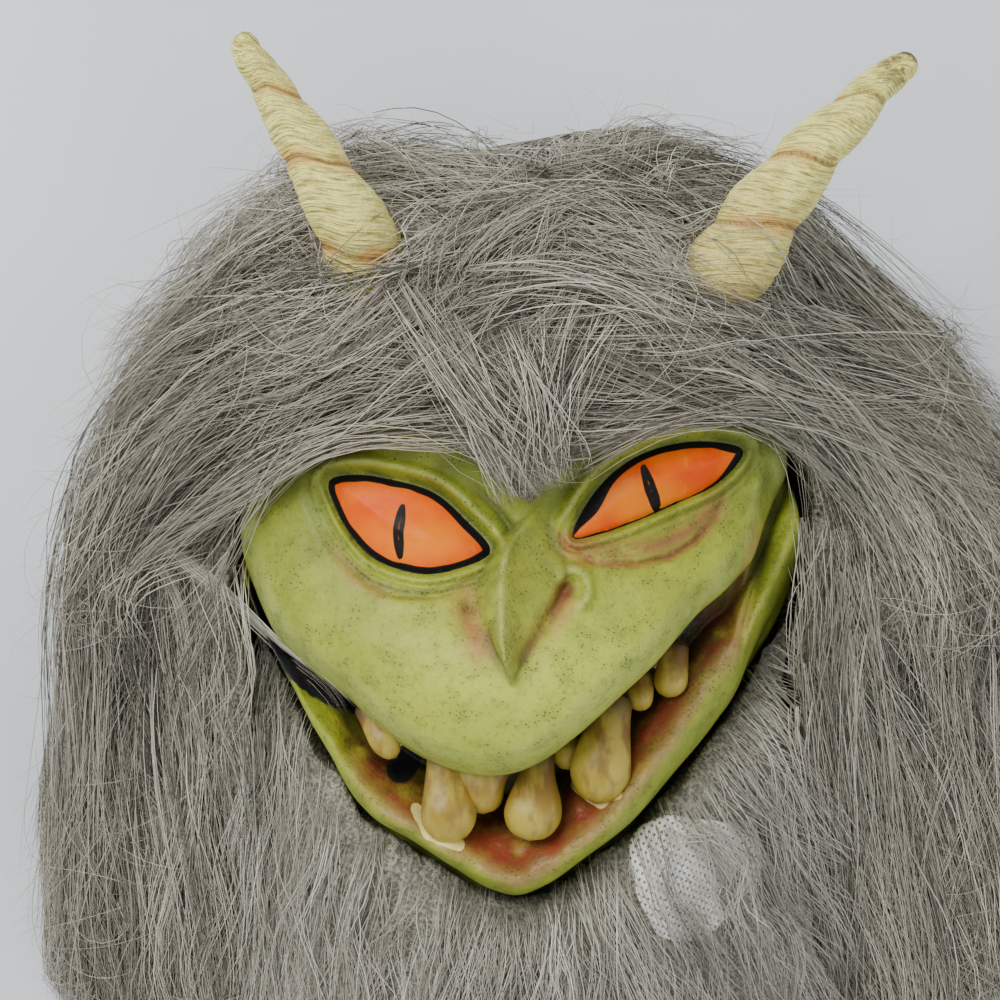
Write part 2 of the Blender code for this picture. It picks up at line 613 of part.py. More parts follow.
HORN_LEFT_LINE = [(-0.056, 0.080, 0.132), (-0.063, 0.117, 0.170), (-0.073, 0.143, 0.186),
                  (-0.089, 0.171, 0.194), (-0.103, 0.194, 0.198), (-0.113, 0.210, 0.200),
                  (-0.116, 0.219, 0.201)]
HORN_RIGHT_LINE = [(0.072, 0.076, 0.128), (0.082, 0.111, 0.168), (0.095, 0.135, 0.184),
                   (0.112, 0.159, 0.192), (0.132, 0.181, 0.197), (0.152, 0.201, 0.200),
                   (0.163, 0.208, 0.201)]
# Share of the root radius over the distance from the tip.
HORN_FULLNESS = [(0.0, 0.26), (0.010, 0.35), (0.022, 0.42), (0.034, 0.50), (0.053, 0.625), (0.069, 0.705),
                 (0.088, 0.82), (0.111, 0.94), (0.135, 1.0), (0.200, 1.0)]
# Turns of each horn's groove over the distance from the tip.
HORN_LEFT_TURNS = [(0.0, 1.0), (0.028, 0.0), (0.061, -1.0), (0.103, -2.0), (0.150, -3.0), (0.190, -3.8)]
HORN_RIGHT_TURNS = [(0.0, 0.95), (0.027, 0.0), (0.061, -1.0), (0.093, -2.0), (0.130, -3.0), (0.165, -4.0),
                    (0.190, -4.6)]


def build():
    """Make every piece of the mask."""
    for obj in list(bpy.data.objects):
        bpy.data.objects.remove(obj, do_unlink=True)

    mask = ring_solid("mask", head_levels(NECK_RIM, CROWN, 190), 190, head_section)
    thin(mask, MASK_FACES, fine_carving)
    skin = grown(mask, "skin", GLUE_GAP)
    cavity = cavity_solid()
    thin(cavity, CAVITY_FACES)
    carve(mask, cavity, "DIFFERENCE")
    drop(cavity)

    horns = []
    horn_tools = []
    left = ("horn_left", HORN_LEFT_LINE, HORN_LEFT_ROOT, HORN_LEFT_TURNS, -1)
    right = ("horn_right", HORN_RIGHT_LINE, HORN_RIGHT_ROOT, HORN_RIGHT_TURNS, 1)
    for name, line, root, winding, hand in (left, right):
        horn = horn_solid(name, line, root, 0.0, winding, hand)
        horn_tools.append(horn_solid(name + "_room", line, root, GLUE_GAP, winding, hand))
        carve(horn, skin, "DIFFERENCE")
        horns.append(horn)

    wig = wig_blank()
    beard = beard_blank()
    window = window_prism("window", HAIR_LAYER, 0.40, 0.0)
    carve(wig, window, "DIFFERENCE")
    carve(wig, skin, "DIFFERENCE")
    for tool in horn_tools:
        carve(wig, tool, "DIFFERENCE")
    ground = box("ground", (-0.5, -0.5, -0.1), (0.5, 0.5, 0.0))
    carve(wig, ground, "DIFFERENCE")

    inner_window = window_prism("inner_window", HAIR_LAYER + 0.01, 0.40, GLUE_GAP)
    carve(beard, inner_window, "INTERSECT")
    carve(beard, skin, "DIFFERENCE")
    way = neck_way()
    carve(beard, way, "DIFFERENCE")

    for tool in horn_tools + [window, inner_window, skin, ground, way]:
        drop(tool)

    paint(mask, (0.33, 0.40, 0.09), 0.55)
    for horn in horns:
        paint(horn, (0.72, 0.62, 0.34), 0.6)
    paint(wig, (0.22, 0.205, 0.19), 0.7)
    paint(beard, (0.33, 0.32, 0.30), 0.75)


build()
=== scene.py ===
"""Rubber goblin mask with twisted horns, a long grey wig and a fur beard, lying face up.

Metres. X runs across the face, Y from the neck to the crown, Z up through the nose.
Curves and heights of the face are in shares of half its width.
"""
import itertools
import math

import bmesh
import bpy
import numpy as np
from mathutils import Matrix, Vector
from mathutils.bvhtree import BVHTree


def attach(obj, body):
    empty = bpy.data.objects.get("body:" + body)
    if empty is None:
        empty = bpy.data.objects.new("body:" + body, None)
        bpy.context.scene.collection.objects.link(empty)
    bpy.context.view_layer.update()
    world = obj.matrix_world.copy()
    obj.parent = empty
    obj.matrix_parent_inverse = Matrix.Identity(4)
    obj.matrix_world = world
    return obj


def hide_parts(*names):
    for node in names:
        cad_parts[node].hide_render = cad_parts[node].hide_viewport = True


bl_info = {
    "name": "Goblin mask",
    "version": (1, 0, 0),
    "blender": (4, 5, 0),
    "location": "3D View > Sidebar > Goblin mask",
    "description": "Makes a horned rubber goblin mask with hair and beard",
    "category": "Add Mesh",
}

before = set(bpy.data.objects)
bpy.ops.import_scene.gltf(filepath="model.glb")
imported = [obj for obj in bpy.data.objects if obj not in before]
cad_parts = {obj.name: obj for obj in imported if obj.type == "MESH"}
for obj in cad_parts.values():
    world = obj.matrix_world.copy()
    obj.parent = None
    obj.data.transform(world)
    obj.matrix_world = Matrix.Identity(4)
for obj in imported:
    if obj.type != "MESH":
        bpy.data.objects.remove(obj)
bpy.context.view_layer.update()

FACE_HALF = 0.120
RUBBER_WALL = 0.003
NECK_RIM = -0.205
CROWN = 0.165
HAIR_SEED = 7

# Lines of the face, as shares of half its width.
MUZZLE = [(-1.30, 0.60), (-1.14, 0.26), (-1.05, -0.01), (-0.94, -0.28), (-0.80, -0.42), (-0.65, -0.52),
          (-0.52, -0.635), (-0.37, -0.735), (-0.23, -0.79), (-0.09, -0.80), (0.06, -0.755), (0.20, -0.655),
          (0.36, -0.51), (0.49, -0.39), (0.64, -0.22), (0.78, -0.10), (0.86, 0.00), (0.92, 0.14),
          (1.30, 0.70)]
JAW = [(-1.30, -0.02), (-1.06, -0.13), (-0.97, -0.32), (-0.88, -0.50), (-0.80, -0.68), (-0.70, -0.84),
       (-0.57, -0.98), (-0.41, -1.06), (-0.26, -1.15), (-0.11, -1.23), (-0.01, -1.25), (0.10, -1.21),
       (0.25, -1.11), (0.43, -0.98), (0.58, -0.82), (0.74, -0.64), (0.83, -0.51), (0.89, -0.35),
       (0.98, -0.17), (1.30, 0.20)]
LIP_CREST = [(-1.00, 0.55), (-0.60, 0.50), (-0.30, 0.34), (0.00, 0.28), (0.30, 0.35), (0.60, 0.48),
             (0.90, 0.55)]
EYE_LEFT = [(-0.69, 0.28), (-0.61, 0.30), (-0.50, 0.29), (-0.32, 0.24), (-0.20, 0.14), (-0.11, 0.03),
            (-0.22, -0.03), (-0.36, -0.05), (-0.52, 0.00), (-0.62, 0.10), (-0.68, 0.21)]
EYE_RIGHT = [(0.18, 0.08), (0.24, 0.21), (0.34, 0.32), (0.47, 0.39), (0.63, 0.42), (0.79, 0.40),
             (0.78, 0.34), (0.69, 0.26), (0.56, 0.20), (0.42, 0.14), (0.28, 0.09)]
PUPIL_LEFT = [(-0.42, 0.19), (-0.435, 0.10), (-0.43, 0.01)]
PUPIL_RIGHT = [(0.43, 0.33), (0.455, 0.25), (0.49, 0.16)]
NOSE_RIDGE = [(-0.42, -0.040), (-0.38, -0.045), (-0.33, -0.06), (-0.20, -0.07), (-0.01, -0.06),
              (0.09, -0.02), (0.16, 0.04), (0.20, 0.05)]
NOSE_LEFT = [(-0.42, -0.05), (-0.38, -0.055), (-0.29, -0.10), (-0.22, -0.13), (-0.13, -0.16), (0.00, -0.12),
             (0.09, -0.07), (0.16, 0.02), (0.20, 0.04)]
NOSE_RIGHT = [(-0.42, -0.03), (-0.38, -0.02), (-0.31, 0.02), (-0.21, 0.08), (-0.12, 0.14), (0.00, 0.15),
              (0.10, 0.11), (0.16, 0.06), (0.20, 0.06)]
BAG_RIGHT = [(0.166, 0.045), (0.256, -0.012), (0.405, -0.019), (0.519, 0.005), (0.616, 0.061),
             (0.700, 0.150), (0.725, 0.230)]
# Creases and rolls of the rubber: points, height and width.
FOLDS = [([(-0.17, 0.26), (-0.09, 0.18), (-0.04, 0.11), (-0.06, 0.04)], -0.024, 0.014),
         ([(-0.64, 0.02), (-0.55, -0.08), (-0.44, -0.125), (-0.30, -0.125), (-0.18, -0.085)],
          -0.010, 0.009),
         (BAG_RIGHT, -0.026, 0.014),
         ([(0.230, 0.028), (0.40, 0.018), (0.55, 0.060), (0.660, 0.140)], -0.009, 0.009),
         ([(0.250, -0.035), (0.405, -0.045), (0.530, -0.022)], -0.006, 0.009),
         ([(0.88, 0.11), (0.84, -0.06), (0.79, -0.22), (0.76, -0.36)], 0.045, 0.022),
         ([(0.92, 0.05), (0.87, -0.10), (0.82, -0.25), (0.79, -0.40)], -0.030, 0.016),
         ([(0.90, 0.36), (0.97, 0.30), (1.03, 0.20), (1.03, 0.06), (0.98, -0.08), (0.93, -0.20)],
          0.035, 0.045),
         ([(-0.99, -0.14), (-0.94, -0.26), (-0.85, -0.37), (-0.76, -0.46), (-0.65, -0.54)], -0.035, 0.022),
         ([(-0.63, -0.56), (-0.60, -0.66), (-0.53, -0.72)], -0.020, 0.020),
         ([(-0.43, -0.98), (-0.26, -1.12), (-0.04, -1.17), (0.14, -1.12), (0.35, -0.94), (0.57, -0.69)],
          -0.010, 0.018)]
# Teeth: root, tip, half width at each, and height of the crown line.
TEETH = [((-0.29, -0.66), (-0.26, -0.91), 0.055, 0.104, 1.50),
         ((-0.15, -0.69), (-0.14, -0.84), 0.130, 0.075, 1.46),
         ((0.07, -0.68), (0.04, -0.90), 0.055, 0.106, 1.50),
         ((0.34, -0.48), (0.28, -0.77), 0.070, 0.108, 1.47),
         ((-0.59, -0.53), (-0.48, -0.68), 0.035, 0.050, 1.40),
         ((0.16, -0.60), (0.17, -0.71), 0.060, 0.056, 1.40),
         ((0.44, -0.40), (0.43, -0.51), 0.050, 0.048, 1.36),
         ((0.57, -0.30), (0.54, -0.45), 0.050, 0.060, 1.36)]
WINDOW = [(0.004, 0.022), (0.018, 0.036), (0.040, 0.054), (0.078, 0.066), (0.104, 0.064), (0.124, 0.050),
          (0.130, 0.028), (0.131, 0.000), (0.127, -0.026), (0.124, -0.060), (0.132, -0.110),
          (0.142, -0.170), (0.150, -0.230), (0.155, -0.330), (-0.130, -0.330), (-0.124, -0.230),
          (-0.118, -0.160), (-0.118, -0.100), (-0.122, -0.055), (-0.129, -0.022), (-0.130, 0.006),
          (-0.122, 0.026), (-0.100, 0.047), (-0.070, 0.058), (-0.040, 0.052), (-0.014, 0.034)]
WIG_OUTLINE = [(-0.090, 0.196), (-0.020, 0.192), (0.060, 0.204), (0.120, 0.180), (0.172, 0.140),
               (0.218, 0.090), (0.246, 0.020), (0.256, -0.060), (0.262, -0.140), (0.254, -0.220),
               (0.215, -0.276), (0.160, -0.290), (0.105, -0.262), (0.040, -0.250), (-0.030, -0.252),
               (-0.095, -0.262), (-0.150, -0.292), (-0.205, -0.276), (-0.240, -0.215), (-0.244, -0.130),
               (-0.228, -0.050), (-0.214, 0.020), (-0.196, 0.090), (-0.150, 0.150)]
HORN_LEFT_LINE = [(-0.056, 0.080, 0.132), (-0.063, 0.117, 0.170), (-0.073, 0.143, 0.186),
                  (-0.089, 0.171, 0.194), (-0.103, 0.194, 0.198), (-0.113, 0.210, 0.200),
                  (-0.116, 0.219, 0.201)]
HORN_RIGHT_LINE = [(0.072, 0.076, 0.128), (0.082, 0.111, 0.168), (0.095, 0.135, 0.184),
                   (0.112, 0.159, 0.192), (0.132, 0.181, 0.197), (0.152, 0.201, 0.200),
                   (0.163, 0.208, 0.201)]
# Strokes that the hair follows, from the parting outward.
WIG_FLOW = [[(-0.009, 0.059), (-0.038, 0.054), (-0.068, 0.048), (-0.099, 0.034), (-0.135, 0.019),
             (-0.170, 0.004), (-0.195, -0.022)],
            [(-0.018, 0.088), (-0.055, 0.090), (-0.099, 0.083), (-0.143, 0.065), (-0.179, 0.035),
             (-0.200, -0.013), (-0.209, -0.073)],
            [(-0.030, 0.122), (-0.073, 0.121), (-0.120, 0.109), (-0.165, 0.086), (-0.200, 0.040),
             (-0.219, -0.024), (-0.227, -0.105), (-0.231, -0.202)],
            [(-0.018, 0.164), (-0.055, 0.186), (-0.094, 0.190), (-0.135, 0.170), (-0.171, 0.133),
             (-0.209, 0.090), (-0.236, 0.035)],
            [(-0.129, -0.002), (-0.155, -0.041), (-0.166, -0.090), (-0.160, -0.145), (-0.155, -0.211),
             (-0.151, -0.264)],
            [(-0.038, 0.096), (-0.022, 0.067), (0.007, 0.048), (0.041, 0.050), (0.075, 0.061),
             (0.120, 0.068), (0.166, 0.057), (0.205, 0.025), (0.236, -0.023)],
            [(0.007, 0.088), (0.045, 0.090), (0.088, 0.088), (0.137, 0.082), (0.191, 0.069),
             (0.243, 0.049)],
            [(0.020, 0.126), (0.058, 0.116), (0.100, 0.100), (0.145, 0.071), (0.184, 0.025),
             (0.209, -0.043), (0.225, -0.123), (0.236, -0.215)],
            [(0.135, 0.025), (0.149, -0.012), (0.172, -0.060), (0.199, -0.120), (0.222, -0.187),
             (0.240, -0.254)],
            [(0.044, 0.164), (0.083, 0.177), (0.122, 0.162), (0.164, 0.126), (0.203, 0.089),
             (0.246, 0.040)],
            [(0.146, -0.003), (0.162, -0.070), (0.183, -0.143), (0.203, -0.221), (0.215, -0.274)],
            [(-0.201, -0.024), (-0.214, -0.099), (-0.221, -0.176), (-0.220, -0.254)],
            [(-0.132, 0.012), (-0.136, -0.030), (-0.134, -0.075), (-0.134, -0.130), (-0.138, -0.220)],
            [(0.133, 0.020), (0.136, -0.020), (0.136, -0.060), (0.146, -0.120), (0.168, -0.220)]]
# Locks that fall to the peak between the eyes, and the tangle behind it.
PEAK_FLOW = [[(-0.060, 0.128), (-0.046, 0.104), (-0.030, 0.080), (-0.015, 0.056), (-0.001, 0.036),
              (0.004, 0.024)],
             [(-0.020, 0.118), (-0.006, 0.094), (0.003, 0.070), (0.006, 0.050), (0.006, 0.030)],
             [(0.040, 0.120), (0.026, 0.096), (0.016, 0.070), (0.010, 0.048), (0.007, 0.032)]]
NEST_FLOW = [[(-0.040, 0.150), (-0.010, 0.160), (0.030, 0.150), (0.060, 0.128), (0.072, 0.104)],
             [(0.070, 0.160), (0.040, 0.164), (0.004, 0.152), (-0.024, 0.130), (-0.034, 0.104)],
             [(-0.060, 0.100), (-0.020, 0.124), (0.024, 0.130), (0.066, 0.116), (0.096, 0.090)],
             [(0.010, 0.180), (0.020, 0.156), (0.010, 0.130), (-0.010, 0.108), (-0.040, 0.094)],
             [(-0.083, 0.172), (-0.060, 0.186), (-0.034, 0.188), (-0.009, 0.176), (0.002, 0.152)],
             [(0.036, 0.142), (0.044, 0.172), (0.060, 0.190), (0.080, 0.190), (0.096, 0.172)]]
# Thin locks that hang over the left cheek.
WISPS = [[(-0.190, 0.028), (-0.160, 0.002), (-0.134, -0.018), (-0.108, -0.040), (-0.086, -0.056),
          (-0.075, -0.069)],
         [(-0.182, 0.025), (-0.170, 0.004), (-0.157, -0.021), (-0.152, -0.059), (-0.147, -0.110)]]
BEARD_FLOW = [[(-0.120, -0.040), (-0.135, -0.100), (-0.140, -0.180), (-0.135, -0.270)],
              [(-0.100, -0.085), (-0.116, -0.140), (-0.118, -0.200), (-0.112, -0.280)],
              [(-0.070, -0.118), (-0.082, -0.170), (-0.084, -0.280)],
              [(-0.030, -0.140), (-0.038, -0.200), (-0.040, -0.290)],
              [(0.000, -0.152), (0.002, -0.210), (0.006, -0.290)],
              [(0.035, -0.135), (0.055, -0.190), (0.075, -0.290)],
              [(0.075, -0.095), (0.110, -0.150), (0.145, -0.230), (0.160, -0.290)],
              [(0.100, -0.060), (0.140, -0.100), (0.180, -0.170), (0.200, -0.250)],
              [(0.112, -0.025), (0.150, -0.055), (0.190, -0.120)]]
HORN_LEFT_ROOT = 0.0190
HORN_RIGHT_ROOT = 0.0196
HORN_TIP = 0.0050
# Share of the root radius at each distance from the tip.
HORN_FULLNESS = [(0.0, 0.26), (0.010, 0.35), (0.022, 0.42), (0.034, 0.50), (0.053, 0.625), (0.069, 0.705),
                 (0.088, 0.82), (0.111, 0.94), (0.135, 1.0), (0.200, 1.0)]
# Windings of each horn at distances from its tip.
LEFT_TURNS = [(0.0, 1.0), (0.028, 0.0), (0.061, -1.0), (0.103, -2.0), (0.150, -3.0), (0.190, -3.8)]
RIGHT_TURNS = [(0.0, 0.95), (0.027, 0.0), (0.061, -1.0), (0.093, -2.0), (0.130, -3.0), (0.165, -4.0),
               (0.190, -4.6)]
# Distance over which a stroke pulls the hair near it, and how fast its pull fades.
FLOW_REACH = 0.018
FLOW_FADE = 1.8
# Distance between the points of the wig's edge, and strands in one hanging lock.
EDGE_STEP = 0.0042
HANGING_LOCK = 9
# Strands in a lock, points on a strand, and loose hairs in each part of the wig.
LOCK_STRANDS = 17
STRAND_POINTS = 11
LOOSE_HAIRS = 300
SIDE_STRANDS = 3200
# Locks of the beard in all, and those spread over it; the rest start along the jaw.
BEARD_LOCKS = 280
BEARD_SPREAD = 190
# Points around the front of the skin, along it and around its back.
SKIN_COLUMNS = 430
SKIN_ROWS = 560
BACK_COLUMNS = 60
# Room that hair may take, from its lowest to its highest corner.
HAIR_ROOM = ((-0.262, -0.312, 0.0006), (0.280, 0.236, 0.236))
CAMERA_PLACE = (-0.00924, 0.0252, 0.940)
LENS = 64.3
KNIT_PLACE = (0.078, -0.140)
KNIT_SIZE = (0.024, 0.022)


def curve(points, at):
    """Smooth value at a position, through points of (position, value)."""
    table = np.array(points)
    knots = table[:, 0]
    values = table[:, 1]
    slopes = np.gradient(values, knots)
    at = np.clip(at, knots[0], knots[-1])
    i = np.clip(np.searchsorted(knots, at) - 1, 0, len(knots) - 2)
    span = knots[i + 1] - knots[i]
    s = (at - knots[i]) / span
    rise = s * s * (3 - 2 * s)
    lead = s * (1 - s) ** 2 * slopes[i] * span
    tail = s * s * (s - 1) * slopes[i + 1] * span
    return values[i] * (1 - rise) + values[i + 1] * rise + lead + tail


def smooth(low, high, at):
    """Soft step from 0 at low to 1 at high."""
    s = np.clip((at - low) / (high - low), 0, 1)
    return s * s * (3 - 2 * s)


def round_edge(distance, radius):
    """Quarter-round step that starts at an edge."""
    s = np.clip(distance / radius, 0, 1)
    return np.sqrt(1 - (1 - s) ** 2)


def off_curve(points, u, v):
    """Distance above a curve given as v over u, measured square to it."""
    step = 0.01
    slope = (curve(points, u + step) - curve(points, u - step)) / (2 * step)
    return (v - curve(points, u)) / np.sqrt(1 + slope * slope)


def loop_points(outline):
    """Many points on the smooth closed line through an outline's corners."""
    corners = np.array(outline)
    count = len(corners)
    t = np.linspace(0, count, count * 8, endpoint=False)
    wrapped = np.vstack([corners[-2:], corners, corners[:3]])
    along = np.arange(-2, count + 3)
    return np.column_stack([curve(np.column_stack([along, wrapped[:, 0]]), t),
                            curve(np.column_stack([along, wrapped[:, 1]]), t)])


def inside(outline, u, v, reach=9.0):
    """Signed distance into a closed outline, positive inside, worked out within a reach."""
    loop = loop_points(outline)
    low, high = loop.min(axis=0) - reach, loop.max(axis=0) + reach
    near = (u > low[0]) & (u < high[0]) & (v > low[1]) & (v < high[1])
    out = np.full(np.shape(u), -reach)
    pu, pv = u[near], v[near]
    best = np.full(pu.shape, reach)
    odd = np.zeros(pu.shape, dtype=bool)
    for k in range(len(loop)):
        au, av = loop[k - 1]
        bu, bv = loop[k]
        du, dv = bu - au, bv - av
        s = np.clip(((pu - au) * du + (pv - av) * dv) / (du * du + dv * dv + 1e-12), 0, 1)
        best = np.minimum(best, np.hypot(pu - au - s * du, pv - av - s * dv))
        cross = (av > pv) != (bv > pv)
        edge = au + (pv - av) * du / (dv if abs(dv) > 1e-9 else 1e-9)
        odd ^= cross & (pu < edge)
    out[near] = np.where(odd, best, -best)
    return out


def from_line(points, u, v):
    """Distance from a line of straight pieces, and the share along it."""
    best = np.full(np.shape(u), 9.0)
    along = np.zeros(np.shape(u))
    count = len(points) - 1
    for k in range(count):
        (au, av), (bu, bv) = points[k], points[k + 1]
        du, dv = bu - au, bv - av
        s = np.clip(((u - au) * du + (v - av) * dv) / (du * du + dv * dv), 0, 1)
        gap = np.hypot(u - au - s * du, v - av - s * dv)
        along = np.where(gap < best, (k + s) / count, along)
        best = np.minimum(best, gap)
    return best, along


def noise(x, y, z, seed=0):
    """Smooth noise from -1 to 1, the same on every run."""
    cells = [np.floor(c).astype(np.int64) for c in (x, y, z)]
    parts = [c - i for c, i in zip((x, y, z), cells)]
    ease = [f * f * (3 - 2 * f) for f in parts]
    total = 0.0
    for a, b, c in itertools.product((0, 1), repeat=3):
        h = (cells[0] + a) * 374761393 + (cells[1] + b) * 668265263 + (cells[2] + c) * 69069 + seed * 7919
        h = (h ^ (h >> 13)) * 1274126177
        h = (h ^ (h >> 16)) & 0xFFFFFF
        share = (ease[0] if a else 1 - ease[0]) * (ease[1] if b else 1 - ease[1])
        total = total + share * (ease[2] if c else 1 - ease[2]) * (h / 8388607.5 - 1)
    return total


def dome(v):
    """How far the skull closes toward the crown, 1 open to 0 shut."""
    s = np.clip((v - 0.35) / (CROWN / FACE_HALF - 0.35), 0, 1)
    return (1 - s ** 2.2) ** (1 / 2.2)


def half_width(v):
    """Half the width of the head at a level, in shares."""
    shape = [(-1.80, 0.62), (-1.50, 0.60), (-1.25, 0.60), (-1.00, 0.62), (-0.80, 0.70), (-0.60, 0.82),
             (-0.40, 0.96), (-0.20, 1.07), (0.00, 1.12), (0.20, 1.10), (0.40, 1.05), (0.80, 1.01),
             (1.50, 1.00)]
    return curve(shape, v) * dome(v)


def side_height(v):
    """Height of the widest line of the head."""
    return curve([(-1.80, 0.60), (-1.00, 0.66), (-0.50, 0.74), (0.00, 0.80), (0.50, 0.80), (1.50, 0.80)], v)


def bulge(xi, power):
    """Fullness of a section from its middle to its side."""
    return (1 - np.clip(np.abs(xi), 0, 1) ** power) ** (1 / power)


def lip_share(u, v):
    """Place between the jaw line at 0 and the muzzle line at 1."""
    above = off_curve(MUZZLE, u, v)
    within = off_curve(JAW, u, v)
    return within / np.maximum(within + np.maximum(-above, 0), 1e-4), above, within


def face_height(u, v):
    """Height of the skin over the table, all in shares, with every crease."""
    wide = half_width(v)
    xi = u / np.maximum(wide, 1e-6)
    side = side_height(v)
    share, above, within = lip_share(u, v)
    front = curve([(-1.80, 1.10), (-1.20, 1.12), (-0.90, 1.16), (-0.60, 1.22), (-0.20, 1.30),
                   (1.50, 1.30)], v)
    neck = side + (front - side) * bulge(xi, 2.2) * dome(v)
    crest = [(-0.95, 1.66), (-0.75, 1.70), (-0.60, 1.77), (-0.45, 1.80), (-0.30, 1.76), (-0.15, 1.66),
             (0.00, 1.58), (0.15, 1.53), (0.40, 1.54), (0.70, 1.56), (1.50, 1.56)]
    flank = 2.6 - 0.9 * smooth(0.0, -0.5, v)
    upper = side + (curve(crest, v) - side) * bulge(u / (1.15 * dome(v) + 1e-6), flank) * dome(v)
    ridge = curve(LIP_CREST, u)
    roll = np.exp(-((share - ridge * 0.8) / 0.26) ** 2) * 0.16
    sink = 0.26 * smooth(ridge + 0.18, 1.0, share)
    jaw_front = curve([(-1.30, 1.34), (-1.00, 1.36), (-0.60, 1.34), (-0.20, 1.34), (0.40, 1.36)], v)
    jaw = side + (jaw_front + roll - sink - side) * bulge(u / 1.16, 2.2)
    wrinkle = noise(u * 16 + 3, v * 16, u * 0, 5) * smooth(ridge * 0.4, ridge, share)
    jaw = jaw + 0.018 * wrinkle * smooth(1.0, 0.7, share)
    lower = neck + (np.maximum(jaw, neck) - neck) * round_edge(within, 0.09)
    skin = lower + (np.maximum(upper, lower) - lower) * round_edge(above, 0.15)
    for outline, tilt in ((EYE_LEFT, -0.42), (EYE_RIGHT, 0.42)):
        depth = inside(outline, u, v, 0.40)
        out = np.maximum(-depth, 0)
        mid_u = sum(p[0] for p in outline) / len(outline)
        mid_v = sum(p[1] for p in outline) / len(outline)
        below = smooth(0.06, -0.06, v - mid_v - tilt * (u - mid_u))
        ball = 0.075 * np.sqrt(np.clip(depth / 0.13, 0, 1))
        socket = -0.045 * np.exp(-(out / 0.10) ** 2) * (depth < 0) - 0.045 * (depth >= 0)
        above_lid = 0.056 * np.exp(-((out - 0.046) / 0.030) ** 2)
        under_lid = 0.044 * np.exp(-((out - 0.020) / 0.018) ** 2)
        under_lid = under_lid + 0.020 * np.exp(-((out - 0.056) / 0.010) ** 2)
        under_lid = under_lid + 0.012 * np.exp(-((out - 0.100) / 0.032) ** 2)
        lid = above_lid * (1 - below) + under_lid * below
        skin = skin + ball + socket + lid * (depth < 0)
    ridge_u = curve(NOSE_RIDGE, v)
    left_u = curve(NOSE_LEFT, v)
    right_u = curve(NOSE_RIGHT, v)
    leaf = np.where(u < ridge_u, (u - left_u) / np.maximum(ridge_u - left_u, 1e-3),
                    (right_u - u) / np.maximum(right_u - ridge_u, 1e-3))
    tall = curve([(-0.42, 0.0), (-0.37, 0.100), (-0.30, 0.130), (-0.15, 0.105), (0.00, 0.075),
                  (0.12, 0.035),
                  (0.19, 0.0)], v)
    leaf = np.clip(leaf, 0, 1)
    hollow = 0.22 * np.sin(leaf * math.pi) * (u > ridge_u)
    skin = skin + tall * np.clip(leaf - hollow, 0, 1) * (v < 0.19) * (v > -0.42)
    wing = np.hypot(u - 0.175, (v + 0.095) * 0.85)
    skin = skin + 0.040 * np.exp(-((wing - 0.055) / 0.022) ** 2) * smooth(0.13, 0.19, u + 0.3 * v + 0.03)
    gap, along = from_line([(0.150, -0.105), (0.120, -0.16), (0.055, -0.25), (-0.005, -0.33)], u, v)
    skin = skin - 0.050 * (1 - 0.7 * along) * np.exp(-(gap / 0.024) ** 2)
    skin = skin - 0.034 * np.exp(-(np.hypot((u + 0.180), (v + 0.165) * 0.7) / 0.046) ** 2)
    skin = skin - 0.045 * np.exp(-(np.hypot((u + 0.60) * 0.6, v + 0.70 - 0.25 * (u + 0.60)) / 0.040) ** 2)
    for line, high, wide_line in FOLDS:
        gap, along = from_line(line, u, v)
        ease = np.sin(math.pi * np.clip(along, 0.04, 0.96)) ** 0.6
        skin = skin + high * np.exp(-(gap / wide_line) ** 2) * ease
    skin = skin + 0.006 * noise(u * 4.5, v * 4.5, u * 0, 1) + 0.0020 * noise(u * 15, v * 15, u * 0, 2)
    edge = smooth(1.0, 0.93, np.abs(xi))
    return side + (skin - side) * np.where(np.abs(xi) < 1, edge, 0)


def back_height(u, v):
    """Height of the back of the head over the table, in shares."""
    side = side_height(v)
    deep = side - curve([(-1.80, 0.105), (1.50, 0.105)], v)
    xi = u / np.maximum(half_width(v), 1e-6)
    return side - deep * bulge(xi, 2.6) * dome(v)


def hair_level(x, y):
    """Height of the smooth surface of the wig over the table."""
    out = ((np.abs(x - 0.005) / 0.138) ** 2.4 + (np.abs(y - 0.020) / 0.168) ** 2.4) ** (1 / 2.4)
    skirt = curve([(0.0, 0.170), (0.7, 0.166), (0.88, 0.150), (1.06, 0.122), (1.30, 0.088), (1.65, 0.058),
                   (2.0, 0.040), (2.6, 0.030)], out)
    v = y / FACE_HALF
    side = side_height(v)
    skull = (side + (1.54 - side) * bulge(x / FACE_HALF / 1.12, 2.4) * dome(v)) * FACE_HALF
    away = np.maximum(-inside(WINDOW, x, y), 0)
    deep = 0.007 + 0.013 * smooth(0.0, 0.045, away)
    capped = skull + deep - 0.16 * smooth(-0.2, -1.1, v)
    blend = 0.012
    return np.maximum(skirt, capped) + blend * np.exp(-np.abs(skirt - capped) / blend) * 0.35


def over(rule, path):
    """A rule of x and y, worked out at every point of the paths."""
    return rule(path[:, :, 0].ravel(), path[:, :, 1].ravel()).reshape(path.shape[:2])


def under_jaw(x, y):
    """Distance outward from the line of the jaw."""
    return -off_curve(JAW, x / FACE_HALF, y / FACE_HALF) * FACE_HALF


def beard_level(x, y):
    """Height of the smooth surface of the beard over the table."""
    under = under_jaw(x, y)
    lift = curve([(-0.20, 0.150), (-0.004, 0.150), (0.002, 0.160), (0.016, 0.172), (0.050, 0.166),
                  (0.100, 0.150),
                  (0.160, 0.122), (0.240, 0.100)], under)
    side = curve([(-0.22, 0.58), (-0.12, 0.66), (-0.08, 0.86), (0.00, 1.0), (0.08, 0.90), (0.12, 0.74),
                  (0.22, 0.62)], x)
    return lift * side


